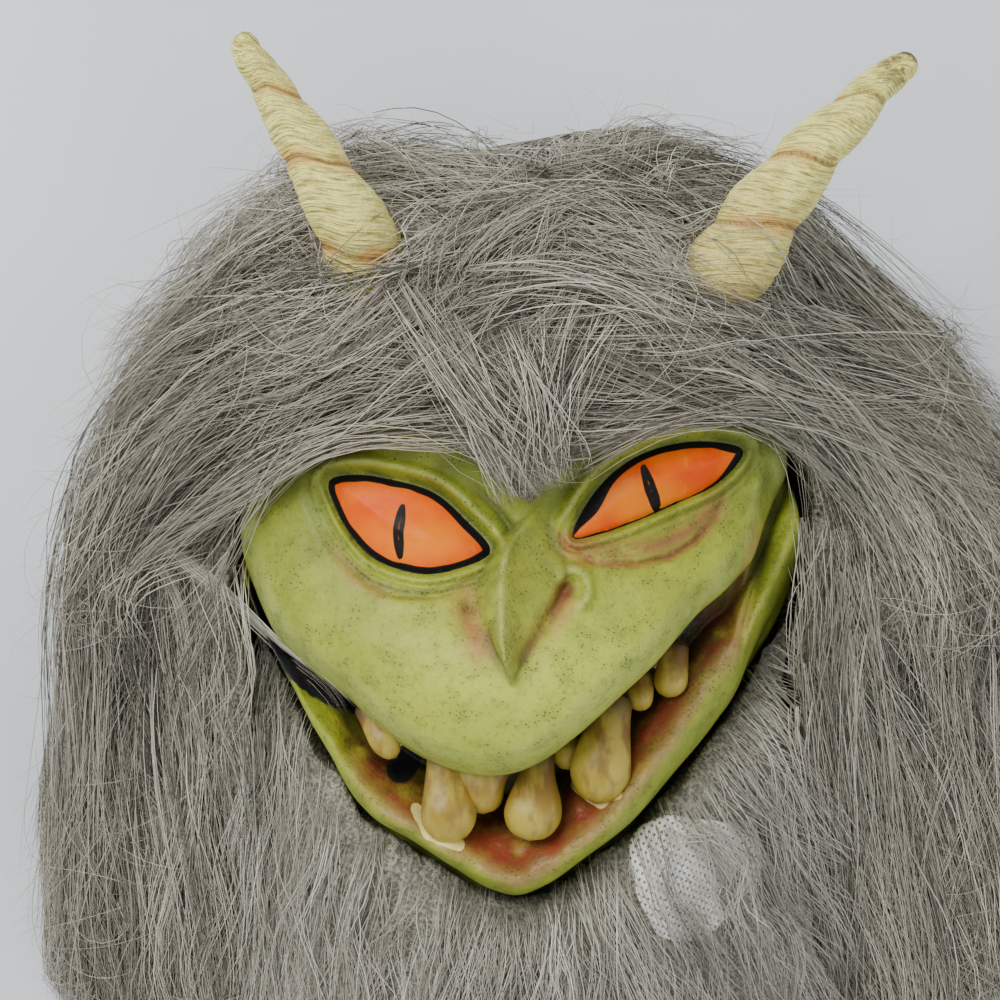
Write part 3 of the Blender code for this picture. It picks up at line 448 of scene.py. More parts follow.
def linear(colour):
    """Scene colour of an 8-bit display colour."""
    c = np.array(colour) / 255.0
    return np.where(c < 0.04045, c / 12.92, ((c + 0.055) / 1.055) ** 2.4)


def shade(colour):
    """Scene colour with its opaque fourth value."""
    return (*[float(c) for c in linear(colour)], 1.0)


def mesh_object(name, verts, faces):
    """Smooth object from rows of points and of equal-sided faces."""
    mesh = bpy.data.meshes.new(name)
    verts = np.asarray(verts, dtype=np.float32)
    faces = np.asarray(faces, dtype=np.int32)
    sides = faces.shape[1]
    mesh.vertices.add(len(verts))
    mesh.vertices.foreach_set("co", verts.ravel())
    mesh.loops.add(faces.size)
    mesh.loops.foreach_set("vertex_index", faces.ravel())
    mesh.polygons.add(len(faces))
    mesh.polygons.foreach_set("loop_start", np.arange(0, faces.size, sides, dtype=np.int32))
    mesh.polygons.foreach_set("loop_total", np.full(len(faces), sides, dtype=np.int32))
    mesh.update(calc_edges=True)
    mesh.validate()
    mesh.polygons.foreach_set("use_smooth", np.ones(len(mesh.polygons), dtype=bool))
    obj = bpy.data.objects.new(name, mesh)
    bpy.context.scene.collection.objects.link(obj)
    return obj


def number_on(obj, name, values):
    """One number at each vertex."""
    layer = obj.data.attributes.new(name, "FLOAT", "POINT")
    layer.data.foreach_set("value", np.asarray(values, dtype=np.float32))


def colour_on(obj, name, values):
    """One colour at each vertex."""
    layer = obj.data.color_attributes.new(name, "FLOAT_COLOR", "POINT")
    full = np.ones((len(values), 4), dtype=np.float32)
    full[:, :3] = values
    layer.data.foreach_set("color", full.ravel())


def numbers_of(obj, name):
    """The numbers painted on the vertices."""
    out = np.empty(len(obj.data.vertices), dtype=np.float32)
    obj.data.attributes[name].data.foreach_get("value", out)
    return out


def move_points(obj, places):
    """Put the vertices at new places."""
    obj.data.vertices.foreach_set("co", places.astype(np.float32).ravel())


def points_of(obj):
    """Places of the vertices as an array."""
    out = np.empty(len(obj.data.vertices) * 3, dtype=np.float32)
    obj.data.vertices.foreach_get("co", out)
    return out.reshape(-1, 3).astype(np.float64)


def select_only(obj):
    """This object alone, active and selected."""
    bpy.ops.object.select_all(action="DESELECT")
    obj.select_set(True)
    bpy.context.view_layer.objects.active = obj


def apply_all(obj):
    """Keep the shape that the modifiers give."""
    select_only(obj)
    for step in list(obj.modifiers):
        bpy.ops.object.modifier_apply(modifier=step.name)


def finish_piece(obj, material, nodes):
    """Give a piece its finish, its body and the solids it stands for."""
    obj.data.materials.clear()
    obj.data.materials.append(material)
    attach(obj, "root")
    for node in nodes:
        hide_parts(node)


def unit(rows):
    """The same directions, each one long."""
    return rows / (np.linalg.norm(rows, axis=-1, keepdims=True) + 1e-9)


def blurred(grid, turns):
    """Even out a grid of heights, keeping its edges."""
    for turn in range(turns):
        grid[1:-1] = (grid[:-2] + 2 * grid[1:-1] + grid[2:]) / 4
        grid[:, 1:-1] = (grid[:, :-2] + 2 * grid[:, 1:-1] + grid[:, 2:]) / 4
    return grid


def close_ends(obj):
    """Shut the open ends of a tube and turn every face outward."""
    bm = bmesh.new()
    bm.from_mesh(obj.data)
    bmesh.ops.holes_fill(bm, edges=[e for e in bm.edges if e.is_boundary], sides=0)
    bmesh.ops.triangulate(bm, faces=[f for f in bm.faces if len(f.verts) > 4])
    bmesh.ops.recalc_face_normals(bm, faces=bm.faces)
    for face in bm.faces:
        face.smooth = True
    bm.to_mesh(obj.data)
    bm.free()


def ring_faces(rows, columns, start=0):
    """Faces of a tube of closed rows."""
    a = np.arange(rows - 1)[:, None] * columns + np.arange(columns)[None, :] + start
    b = np.arange(rows - 1)[:, None] * columns + (np.arange(columns)[None, :] + 1) % columns + start
    return np.stack([a, b, b + columns, a + columns], axis=-1).reshape(-1, 4)


class Finish:
    """Small helper that builds a node material."""

    def __init__(self, name, roughness=0.5, specular=0.4):
        self.material = bpy.data.materials.new(name)
        self.material.use_nodes = True
        self.tree = self.material.node_tree
        self.shader = self.tree.nodes["Principled BSDF"]
        self.shader.inputs["Roughness"].default_value = roughness
        self.shader.inputs["Specular IOR Level"].default_value = specular
        self.place = self.tree.nodes.new("ShaderNodeTexCoord").outputs["Object"]

    def link(self, source, target):
        """Join two sockets, or set a plain value."""
        if hasattr(source, "is_output"):
            self.tree.links.new(source, target)
        else:
            target.default_value = source

    def number(self, name, output="Fac"):
        """Number or colour painted on the vertices."""
        node = self.tree.nodes.new("ShaderNodeAttribute")
        node.attribute_name = name
        return node.outputs[output]

    def grain(self, scale, detail=3.0, stretch=(1, 1, 1), rough=0.5):
        """Noise through the object's own space."""
        move = self.tree.nodes.new("ShaderNodeMapping")
        self.link(self.place, move.inputs["Vector"])
        move.inputs["Scale"].default_value = stretch
        node = self.tree.nodes.new("ShaderNodeTexNoise")
        self.link(move.outputs["Vector"], node.inputs["Vector"])
        node.inputs["Scale"].default_value = scale
        node.inputs["Detail"].default_value = detail
        node.inputs["Roughness"].default_value = rough
        return node.outputs["Fac"]

    def wrap(self, turns, often, round_name, wide):
        """Noise drawn out along the windings of a horn."""
        node = self.tree.nodes.new("ShaderNodeCombineXYZ")
        self.link(self.sum("MULTIPLY", self.number(turns), often), node.inputs["X"])
        self.link(self.sum("MULTIPLY", self.number(round_name), wide), node.inputs["Y"])
        grain = self.tree.nodes.new("ShaderNodeTexNoise")
        self.link(node.outputs["Vector"], grain.inputs["Vector"])
        grain.inputs["Scale"].default_value = 1.0
        grain.inputs["Detail"].default_value = 2.0
        return grain.outputs["Fac"]

    def cells(self, scale, randomness=1.0):
        """Distance to the nearest of many scattered points."""
        node = self.tree.nodes.new("ShaderNodeTexVoronoi")
        self.link(self.place, node.inputs["Vector"])
        node.inputs["Scale"].default_value = scale
        node.inputs["Randomness"].default_value = randomness
        return node.outputs["Distance"]

    def step(self, value, low, high, a=0.0, b=1.0):
        """Soft step of a value."""
        node = self.tree.nodes.new("ShaderNodeMapRange")
        node.interpolation_type = "SMOOTHSTEP"
        self.link(value, node.inputs["Value"])
        for key, number in (("From Min", low), ("From Max", high), ("To Min", a), ("To Max", b)):
            node.inputs[key].default_value = number
        return node.outputs["Result"]

    def sum(self, operation, a, b):
        """Arithmetic on two values."""
        node = self.tree.nodes.new("ShaderNodeMath")
        node.operation = operation
        self.link(a, node.inputs[0])
        self.link(b, node.inputs[1])
        return node.outputs["Value"]

    def mix(self, share, a, b, kind="MIX"):
        """Blend of two colours."""
        node = self.tree.nodes.new("ShaderNodeMix")
        node.data_type = "RGBA"
        node.blend_type = kind
        self.link(share, node.inputs[0])
        self.link(a, node.inputs[6])
        self.link(b, node.inputs[7])
        return node.outputs[2]

    def coat(self, tone, value, low, high, much, colour):
        """Paint a colour over a tone where a value steps from low to high."""
        return self.mix(self.step(value, low, high, 0.0, much), tone, shade(colour))

    def bump(self, height, distance, strength=1.0):
        """Raise the surface by a height pattern."""
        node = self.tree.nodes.new("ShaderNodeBump")
        node.inputs["Strength"].default_value = strength
        node.inputs["Distance"].default_value = distance
        self.link(height, node.inputs["Height"])
        self.link(node.outputs["Normal"], self.shader.inputs["Normal"])

    def base(self, colour):
        """Set the surface colour."""
        self.link(colour, self.shader.inputs["Base Color"])

    def rough(self, value):
        """Set how dull the surface is."""
        self.link(value, self.shader.inputs["Roughness"])


def skin_rows(xi, rows):
    """Levels of each column, closer together where the skin is steep or finely carved."""
    columns = len(xi)
    fine = np.linspace(NECK_RIM, CROWN - 0.0006, 1100) / FACE_HALF
    grid_v = np.repeat(fine[None, :], columns, axis=0)
    grid_u = xi[:, None] * half_width(grid_v)
    high = face_height(grid_u, grid_v)
    rise = np.abs(np.diff(high, axis=1))
    flat = np.diff(fine)[None, :]
    detail = 1 + 1.1 * smooth(-0.62, -0.42, grid_v[:, 1:]) * smooth(0.52, 0.40, grid_v[:, 1:])
    detail = detail + 0.6 * smooth(-1.3, -1.2, grid_v[:, 1:]) * smooth(-0.4, -0.6, grid_v[:, 1:])
    weight = np.sqrt(flat ** 2 + np.minimum(rise, flat * 9) ** 2) * detail
    for turn in range(14):
        weight[1:-1] = (weight[:-2] + 2 * weight[1:-1] + weight[2:]) / 4
    total = np.concatenate([np.zeros((columns, 1)), np.cumsum(weight, axis=1)], axis=1)
    total = total / total[:, -1:]
    want = np.linspace(0, 1, rows)
    return np.array([np.interp(want, total[k], fine) for k in range(columns)])


def sample(grid, us, vs, u, v):
    """Value of a grid at places between its points."""
    i = np.clip((u - us[0]) / (us[1] - us[0]), 0, len(us) - 1.001)
    j = np.clip((v - vs[0]) / (vs[1] - vs[0]), 0, len(vs) - 1.001)
    i0, j0 = i.astype(int), j.astype(int)
    fi, fj = i - i0, j - j0
    low = grid[j0, i0] * (1 - fi) + grid[j0, i0 + 1] * fi
    top = grid[j0 + 1, i0] * (1 - fi) + grid[j0 + 1, i0 + 1] * fi
    return low * (1 - fj) + top * fj


def inner_height():
    """Height of the inside of the rubber, under the lowest skin within reach."""
    step = 0.016
    us = np.arange(-1.20, 1.2001, step)
    vs = np.arange(-1.75, 1.4001, step)
    gu, gv = np.meshgrid(us, vs)
    skin = face_height(gu, gv)
    reach = (RUBBER_WALL + 0.0025) / FACE_HALF
    inner = skin.copy()
    span = int(reach / step) + 1
    for i in range(-span, span + 1):
        for j in range(-span, span + 1):
            off = math.hypot(i, j) * step
            if off <= reach:
                ball = math.sqrt(reach * reach - off * off)
                inner = np.minimum(inner, np.roll(np.roll(skin, i, axis=0), j, axis=1) - ball)
    return blurred(inner, 5), us, vs


def skin_mesh(columns, rows, keep):
    """Closed rubber shell: carved outside, plain inside, joined at the neck."""
    s = np.linspace(-1, 1, columns)
    xi = -np.sin(math.pi / 2 * (0.8 * s + 0.2 * s ** 3))
    coarse = np.linspace(0, columns - 1, 111)
    levels = skin_rows(np.interp(coarse, np.arange(columns), xi), rows)
    front_v = np.array([np.interp(np.arange(columns), coarse, levels[:, r]) for r in range(rows)])
    front_u = xi[None, :] * half_width(front_v)
    front_z = face_height(front_u, front_v)
    side_z = side_height(front_v)
    front_z = np.where(np.abs(xi)[None, :] > 0.9999, side_z, front_z)
    angles = np.linspace(math.pi, 2 * math.pi, BACK_COLUMNS + 2)[1:-1]
    share = np.linspace(0, 1, BACK_COLUMNS + 2)[1:-1]
    back_v = front_v[:, -1:] * (1 - share) + front_v[:, :1] * share
    back_u = -np.cos(angles + math.pi)[None, :] * half_width(back_v)
    back_z = back_height(back_u, back_v)
    u = np.concatenate([front_u, back_u], axis=1)
    v = np.concatenate([front_v, back_v], axis=1)
    z = np.concatenate([front_z, back_z], axis=1)
    outer = np.stack([u, v, z], axis=-1) * FACE_HALF
    around = outer.shape[1]
    # The inner wall lies one wall inside the lowest skin near each place.
    picks = np.linspace(0, rows - 1, 74).astype(int)
    inner = outer[picks].copy()
    inner[:, :, 1] = np.linspace(0, 1, len(picks))[:, None] ** 0.8 * (CROWN - 0.004 - NECK_RIM) + NECK_RIM
    level = inner[:, :, 1] / FACE_HALF
    full = np.concatenate([xi, -np.cos(angles + math.pi)])[None, :]
    wide = np.maximum(half_width(level) - RUBBER_WALL / FACE_HALF, 0.002)
    inner_u = full * wide
    lining_top, us, vs = inner_height()
    roof = sample(lining_top, us, vs, inner_u, level)
    side = side_height(level)
    roof = side + (roof - side) * smooth(1.0, 0.90, np.abs(full))
    floor = np.minimum(back_height(full * half_width(level), level) + RUBBER_WALL / FACE_HALF, side)
    is_front = (np.arange(around) < columns)[None, :]
    inner = np.stack([inner_u, level, np.where(is_front, np.maximum(roof, side), floor)], axis=-1) * FACE_HALF
    verts = np.concatenate([outer.reshape(-1, 3), inner.reshape(-1, 3)])
    shell = ring_faces(rows, around)
    start = rows * around
    lining = ring_faces(len(picks), around, start)[:, ::-1]
    k = np.arange(around)
    rim = np.stack([(k + 1) % around, k, start + k, start + (k + 1) % around], axis=-1)
    obj = mesh_object("mask_skin", verts, np.concatenate([shell, lining, rim]))
    number_on(obj, "inner", np.concatenate([np.zeros(start), np.ones(inner.size // 3)]))
    close_ends(obj)
    co = points_of(obj)
    group = obj.vertex_groups.new(name="coarse")
    flag = numbers_of(obj, "inner")
    cover = -inside(WINDOW, co[:, 0], co[:, 1])
    hidden = np.maximum.reduce([flag, smooth(0.012, 0.03, cover), smooth(0.09, 0.07, co[:, 2])])
    for value in (0.1, 0.5, 1.0):
        chosen = np.nonzero(np.abs(hidden * 0.9 + 0.1 - value) < 0.21)[0]
        group.add([int(k) for k in chosen], value, "REPLACE")
    tool = obj.modifiers.new("fewer", "DECIMATE")
    tool.ratio = keep / sum(len(p.vertices) - 2 for p in obj.data.polygons)
    tool.vertex_group = "coarse"
    tool.vertex_group_factor = 0.02
    apply_all(obj)
    obj.vertex_groups.clear()
    return obj


def blend(colour, share, other):
    """Paint another colour over a set of colours."""
    share = np.clip(share, 0, 1)[:, None]
    return colour * (1 - share) + linear(other)[None, :] * share


def hollows(u, v):
    """How far the skin lies below its surroundings, from 0 to 1."""
    step = 0.0125
    us = np.arange(-1.25, 1.2501, step)
    vs = np.arange(-1.75, 1.4001, step)
    gu, gv = np.meshgrid(us, vs)
    high = face_height(gu, gv)
    return sample(blurred(high.copy(), 18) - high, us, vs, u, v)


def paint_skin(obj, colours):
    """Airbrushed and brushed paint of the rubber, with painted shade and painted highlights, worked out at
    every vertex.
    """
    co = points_of(obj)
    u, v, z = co[:, 0] / FACE_HALF, co[:, 1] / FACE_HALF, co[:, 2] / FACE_HALF
    flag = numbers_of(obj, "inner")
    front = (z > side_height(v)) & (flag < 0.5)
    share, above, within = lip_share(u, v)
    cloud = noise(u * 6, v * 6, z * 6, 11)
    fleck = noise(u * 40, v * 40, z * 40, 12)
    tone = np.repeat(linear(colours["green"])[None, :], len(co), axis=0)
    # Painted highlight: lighter green over the middle of the muzzle, where the light falls.
    high = np.exp(-((u + 0.02) / 0.55) ** 2 - ((v + 0.40) / 0.27) ** 2) * smooth(-0.02, 0.08, above)
    tone = blend(tone, high * (0.95 + 0.15 * cloud), colours["muzzle"])
    # Painted shade: olive darker over the brow and toward the sides of the head, with random clouds.
    tone = blend(tone, 0.80 * smooth(0.12, 0.34, v) + 0.34 * smooth(0.55, 1.0, np.abs(u)) + 0.14 * cloud,
                 colours["olive"])
    sunk = hollows(u, v)
    # Painted shade: darker olive where the skin lies below its surroundings.
    tone = blend(tone, smooth(0.002, 0.024, sunk) * 0.85, (84, 92, 40))
    # Painted highlight: lighter green on the raised parts of the upper face.
    tone = blend(tone, smooth(0.004, 0.028, -sunk) * 0.35 * (above > 0), (190, 200, 112))
    # Painted shade and a painted highlight on the nose, brown blush round the nostrils and in the bags,
    # painted shade in the creases, and brown with a painted highlight on the cheek roll.
    ridge_u, left_u, right_u = curve(NOSE_RIDGE, v), curve(NOSE_LEFT, v), curve(NOSE_RIGHT, v)
    nose = smooth(-0.43, -0.38, v) * smooth(0.19, 0.12, v)
    on_left = smooth(-0.006, 0.006, u - left_u) * smooth(0.004, -0.004, u - ridge_u) * nose
    on_right = smooth(-0.004, 0.004, u - ridge_u) * smooth(0.006, -0.006, u - right_u) * nose
    stipple = 0.75 + 0.5 * fleck
    # Painted shade with stippling on the left and right planes of the nose.
    tone = blend(tone, on_left * 0.75 * stipple, (100, 108, 38))
    tone = blend(tone, on_right * 0.62 * stipple, (118, 116, 44))
    # Painted highlight along the ridge of the nose.
    nose_ridge_highlight = np.exp(-((u - ridge_u + 0.004) / 0.010) ** 2) * nose * smooth(0.1, -0.1, v)
    tone = blend(tone, 0.40 * nose_ridge_highlight, (196, 198, 110))
    # Painted shade along both edges of the nose.
    for edge_u in (left_u, right_u):
        tone = blend(tone, 0.70 * np.exp(-((u - edge_u) / 0.010) ** 2) * nose, (82, 86, 30))
    gap = from_line([(-0.19, -0.14), (-0.175, -0.20), (-0.150, -0.30)], u, v)[0]
    tone = blend(tone, 0.90 * np.exp(-(gap / 0.048) ** 2) * (1 - 0.7 * on_left), (164, 96, 66))
    tone = blend(tone, 0.85 * np.exp(-(np.hypot(u + 0.185, (v + 0.165) * 0.75) / 0.026) ** 2),
                 (108, 50, 40))
    gap, along = from_line([(0.150, -0.105), (0.120, -0.16), (0.055, -0.25), (0.0, -0.33)], u, v)
    tone = blend(tone, (0.95 - 0.60 * along) * np.exp(-(gap / 0.034) ** 2), (128, 76, 44))
    tone = blend(tone, 0.85 * np.exp(-(np.hypot(u - 0.150, v + 0.120) / 0.020) ** 2), (104, 58, 38))
    gap = from_line([(0.165, -0.15), (0.110, -0.24)], u, v)[0]
    tone = blend(tone, 0.45 * np.exp(-(gap / 0.022) ** 2), (196, 134, 88))
    for line, colour, width, much in (
            ([(0.20, 0.045), (0.34, 0.025), (0.50, 0.050), (0.64, 0.120), (0.70, 0.190)],
             (142, 102, 50), 0.046, 0.85),
            # Painted shade: a darker brown line in the lower crease of the right bag.
            (BAG_RIGHT[:-1], (140, 84, 46), 0.013, 0.85),
            ([(0.15, 0.08), (0.17, 0.03), (0.21, 0.00)], (158, 104, 60), 0.024, 0.8),
            # Painted shade: a darker brown line along the upper crease of the right bag.
            ([(0.44, 0.04), (0.58, 0.09), (0.68, 0.17)], (132, 78, 46), 0.012, 0.65),
            ([(-0.66, 0.02), (-0.60, -0.06), (-0.48, -0.12)], (158, 116, 68), 0.026, 0.60),
            # Painted shade: darker lines along the creases under the left eye.
            ([(-0.62, 0.00), (-0.52, -0.085), (-0.42, -0.108), (-0.28, -0.108), (-0.15, -0.055)],
             (92, 84, 42), 0.008, 0.80),
            ([(-0.50, -0.125), (-0.42, -0.135), (-0.30, -0.135),
              (-0.20, -0.10)], (120, 92, 50), 0.007, 0.55),
            # Brown paint with a painted highlight along the roll of the right cheek.
            ([(0.86, 0.10), (0.82, -0.06), (0.78, -0.24)], (168, 120, 70), 0.030, 0.55),
            # Painted shade: darker olive beside the outer corner of the left eye and along the fold of its
            # lid.
            ([(-0.66, 0.28), (-0.74, 0.20), (-0.72, 0.06)], (100, 112, 50), 0.05, 0.4),
            ([(-0.14, 0.26), (-0.02, 0.10)], (96, 108, 48), 0.035, 0.4)):
        gap = from_line(line, u, v)[0]
        tone = blend(tone, much * np.exp(-(gap / width) ** 2), colour)
    # Lip: green skin, a pink ridge of paint with a painted highlight along its crest, the red lip and the
    # dark mouth.
    lower = smooth(0.02, -0.01, above) * smooth(-0.02, 0.02, within)
    crest = curve(LIP_CREST, u) * 1.22
    start = smooth(-0.72, -0.56, u + 0.05 * fleck) * (1 - smooth(-0.30, -0.10, v) * (u > 0.5))
    edge = share + 0.022 * cloud + 0.012 * fleck
    for low, top, much, colour in ((0.52, 0.74, 0.75, (158, 116, 76)), (0.74, 1.10, 0.92, colours["lip"]),
                                   (1.30, 1.9, 0.60, (98, 44, 30))):
        tone = blend(tone, lower * start * smooth(crest * low, crest * top, edge) * much, colour)
    rough_edge = share + 0.05 * cloud + 0.02 * fleck
    tone = blend(tone, lower * start * smooth(0.50, 0.78, rough_edge) * 0.75, (84, 38, 28))
    tone = blend(tone, lower * smooth(0.68, 0.88, rough_edge) * smooth(0.78, 0.60, u), (26, 20, 16))
    # Black paint in the corner of the mouth and the dark blob in the lip.
    corner = [(-1.00, -0.12), (-0.95, -0.26), (-0.86, -0.38), (-0.76, -0.475), (-0.62, -0.56)]
    gap, along = from_line(corner, u, v)
    black = (0.026 + 0.016 * np.sin(math.pi * along) + 0.006 * fleck) - gap
    black = np.where(above > 0.02, -1, black)
    blob = 0.052 - np.hypot((u + 0.43) * 0.9, v + 0.765) + 0.010 * cloud
    black = np.maximum(black, blob)
    # Pale yellow paint that ran past the teeth.
    spill = np.full(len(co), -1.0)
    for line, width in (([(-0.60, -0.53), (-0.57, -0.62), (-0.50, -0.70), (-0.44, -0.72)], 0.030),
                        ([(-0.38, -0.90), (-0.33, -0.98), (-0.22, -1.02)], 0.017),
                        ([(0.20, -0.83), (0.28, -0.875), (0.34, -0.84)], 0.018),
                        ([(0.50, -0.36), (0.56, -0.42)], 0.048)):
        gap = from_line(line, u, v)[0]
        spill = np.maximum(spill, width * (1 + 0.35 * fleck) - gap)
    spill = np.where(above > -0.005, -1, spill)
    inner = flag > 0.5
    tone[inner] = linear((196, 182, 140)) * (0.92 + 0.06 * cloud[inner, None])
    tone = tone * (1 + 0.05 * fleck[:, None] * (~inner)[:, None])
    colour_on(obj, "tone", np.clip(tone, 0, 1))
    eye = np.where(front, np.maximum(inside(EYE_LEFT, u, v, 0.3), inside(EYE_RIGHT, u, v, 0.3)), -1)
    wobble = 0.0035 * noise(u * 22, v * 22, z * 0, 14)
    thick = 0.026 + 0.006 * noise(u * 9, v * 9, z * 0, 15)
    away = v - 0.255 - 0.50 * (u - 0.46)
    top = smooth(-0.04, 0.02, away)
    outer = smooth(0.68, 0.76, u)
    leading = smooth(0.36, 0.26, u)
    thick_right = 0.006 + 0.018 * top + 0.026 * top * leading + 0.022 * outer
    thick = np.where(u > 0.05, thick_right, thick) + wobble
    number_on(obj, "eye", eye)
    pupil = np.full(len(co), -1.0)
    for line, wide in ((PUPIL_LEFT, 0.021), (PUPIL_RIGHT, 0.022)):
        gap, along = from_line(line, u, v)
        body = wide * (0.45 + 0.55 * np.sin(math.pi * np.clip(along, 0, 1)) ** 0.7)
        pupil = np.maximum(pupil, body - gap + wobble * 0.8)
    for name, depth in (("orange", eye - thick), ("pupil", pupil), ("black", black), ("spill", spill)):
        number_on(obj, name, np.where(front, depth, -1))
    # Painted highlight: lighter orange in the middle of each eye.
    middle = np.exp(-((u + 0.36) / 0.20) ** 2 - ((v - 0.07) / 0.10) ** 2)
    middle = middle + np.exp(-((u - 0.42) / 0.24) ** 2 - ((v - 0.21) / 0.10) ** 2)
    number_on(obj, "bright", middle)
    number_on(obj, "lips", lower * start * smooth(crest * 0.5, crest * 0.9, share))


def skin_finish(colours):
    """Matte painted latex with glossy eyes."""
    f = Finish("painted_green_latex", 0.55, 0.42)
    tone = f.number("tone", "Color")
    mottle = f.grain(90, 5, rough=0.65)
    tone = f.mix(f.step(mottle, 0.42, 0.70, 0.0, 0.42), tone, shade((90, 100, 22)), "MIX")
    tone = f.coat(tone, f.grain(34, 4, rough=0.6), 0.46, 0.68, 0.40, (180, 188, 58))
    tone = f.coat(tone, f.grain(420, 4, rough=0.7), 0.54, 0.66, 0.38, (82, 88, 36))
    speck = f.sum("MULTIPLY", f.step(f.cells(520), 0.30, 0.16), f.step(f.grain(90, 2), 0.46, 0.58))
    keep_green = f.step(f.number("inner"), 0.4, 0.6, 0.75, 0.0)
    tone = f.mix(f.sum("MULTIPLY", speck, keep_green), tone, shade((58, 62, 30)))
    spill = f.step(f.number("spill"), -0.002, 0.002)
    tone = f.mix(spill, tone, shade(colours["spill"]))
    black = f.step(f.number("black"), -0.004, 0.004)
    tone = f.mix(black, tone, shade((36, 36, 40)))
    orange = f.mix(f.step(f.grain(60, 4), 0.35, 0.65), shade(colours["eye"]), shade((226, 76, 0)))
    # Painted highlight: lighter orange in the middle of each eye, and streaks of painted reflection.
    orange = f.mix(f.step(f.number("bright"), 0.25, 1.0, 0.0, 0.60), orange, shade((240, 138, 0)))
    streak = f.step(f.grain(170, 3, (1, 0.25, 1)), 0.62, 0.74, 0.0, 0.35)
    orange = f.mix(streak, orange, shade((240, 156, 30)))
    rim = shade((22, 20, 22))
    eye_paint = f.mix(f.step(f.number("orange"), -0.0015, 0.0015), rim, orange)
    pupil = f.step(f.number("pupil"), -0.0015, 0.0015)
    eye_paint = f.mix(pupil, eye_paint, shade((26, 22, 20)))
    core = f.step(f.number("pupil"), 0.0155, 0.0185, 0.0, 0.6)
    eye_paint = f.mix(core, eye_paint, shade((150, 70, 25)))
    eye = f.step(f.number("eye"), -0.0015, 0.0015)
    f.base(f.mix(eye, tone, eye_paint))
    dull = f.step(mottle, 0.3, 0.7, 0.50, 0.66)
    dull = f.sum("SUBTRACT", dull, f.sum("MULTIPLY", f.number("lips"), 0.16))
    dull = f.sum("SUBTRACT", dull, f.sum("MULTIPLY", black, 0.26))
    dull = f.sum("SUBTRACT", dull, f.sum("MULTIPLY", eye, 0.20))
    f.rough(dull)
    f.link(f.step(eye, 0.0, 1.0, 0.42, 0.10), f.shader.inputs["Specular IOR Level"])
    pore = f.sum("ADD", f.sum("MULTIPLY", f.grain(520, 3), 0.5), f.sum("MULTIPLY", f.grain(150, 4), 0.8))
    pore = f.sum("MULTIPLY", pore, f.step(eye, 0.0, 1.0, 1.0, 0.25))
    f.bump(pore, 0.00085, 0.9)
    return f.material


def tooth_mesh(name, tooth, number):
    """One rounded tooth, wider toward its tip."""
    (au, av), (bu, bv), wide_a, wide_b, crown = tooth
    bpy.ops.object.select_all(action="DESELECT")
    bpy.ops.mesh.primitive_uv_sphere_add(segments=30, ring_count=20, radius=1.0)
    obj = bpy.context.object
    obj.name = name
    obj.data.name = name
    p = points_of(obj)
    run = Vector((bu, bv)) - Vector((au, av))
    reach = run.length + wide_b
    ahead = run.normalized()
    across = Vector((ahead.y, -ahead.x))
    span = np.arccos(np.clip(p[:, 2], -1, 1)) / math.pi
    wide = wide_a + (wide_b - wide_a) * smooth(0.1, 0.75, span)
    ends = np.sqrt(np.clip(1 - np.maximum(span - 0.66, 0) ** 2 / 0.34 ** 2, 0, 1))
    ends = ends * np.sqrt(np.clip(1 - np.maximum(0.12 - span, 0) ** 2 / 0.12 ** 2, 0, 1))
    ring = np.hypot(p[:, 0], p[:, 1]) + 1e-9
    cx, cy = p[:, 0] / ring, p[:, 1] / ring
    body = wide * ends * (1 + 0.05 * noise(cx * 2 + number, cy * 2, span * 4, 21))
    u = au + ahead.x * span * reach + across.x * cx * body
    v = av + ahead.y * span * reach + across.y * cx * body
    arch = 0.02 * np.sin(span * math.pi)
    high = crown - 0.30 * wide_b + arch + cy * body * 0.72 - 0.06 * smooth(0.75, 0.0, span)
    move_points(obj, np.stack([u, v, high], axis=-1) * FACE_HALF)
    bpy.ops.object.mode_set(mode="EDIT")
    bpy.ops.mesh.select_all(action="SELECT")
    bpy.ops.mesh.normals_make_consistent(inside=False)
    bpy.ops.object.mode_set(mode="OBJECT")
    bpy.ops.object.shade_smooth()
    number_on(obj, "down", span)
    number_on(obj, "face", np.clip(cy, -1, 1))
    return obj


def tooth_finish(colours):
    """Ochre painted teeth, dark toward the gum, with worn tips and painted shade on their undersides."""
    f = Finish("ochre_painted_teeth", 0.38, 0.45)
    down = f.number("down")
    streak = f.grain(60, 4, (2.2, 0.7, 1))
    tone = f.mix(f.step(down, 0.25, 0.95), shade((122, 88, 40)), shade(colours["tooth"]))
    tone = f.coat(tone, streak, 0.42, 0.62, 0.55, (192, 174, 74))
    tone = f.coat(tone, f.grain(150, 5, (1, 0.6, 1)), 0.52, 0.66, 0.5, (120, 92, 44))
    # Painted shade: darker brown on the underside of each tooth.
    tone = f.coat(tone, f.number("face"), 0.1, -0.5, 0.75, (74, 54, 28))
    tone = f.coat(tone, down, 0.30, 0.05, 0.8, (62, 44, 24))
    f.base(tone)
    f.rough(f.step(streak, 0.3, 0.7, 0.32, 0.50))
    f.bump(f.grain(190, 4), 0.0005, 0.6)
    return f.material


def horn_path(points, count):
    """Even points along a horn's middle line, with the distance from the tip."""
    t = np.linspace(0, 1, 400)
    along = np.linspace(0, 1, len(points))
    fine = np.column_stack([curve(np.column_stack([along, [p[k] for p in points]]), t) for k in range(3)])
    run = np.concatenate([[0], np.cumsum(np.linalg.norm(np.diff(fine, axis=0), axis=1))])
    want = np.linspace(0, run[-1], count)
    place = np.column_stack([np.interp(want, run, fine[:, k]) for k in range(3)])
    return place, run[-1] - want


def horn_radius(from_tip, root):
    """Radius before grooves, at a distance from the tip."""
    return root * curve(HORN_FULLNESS, from_tip)


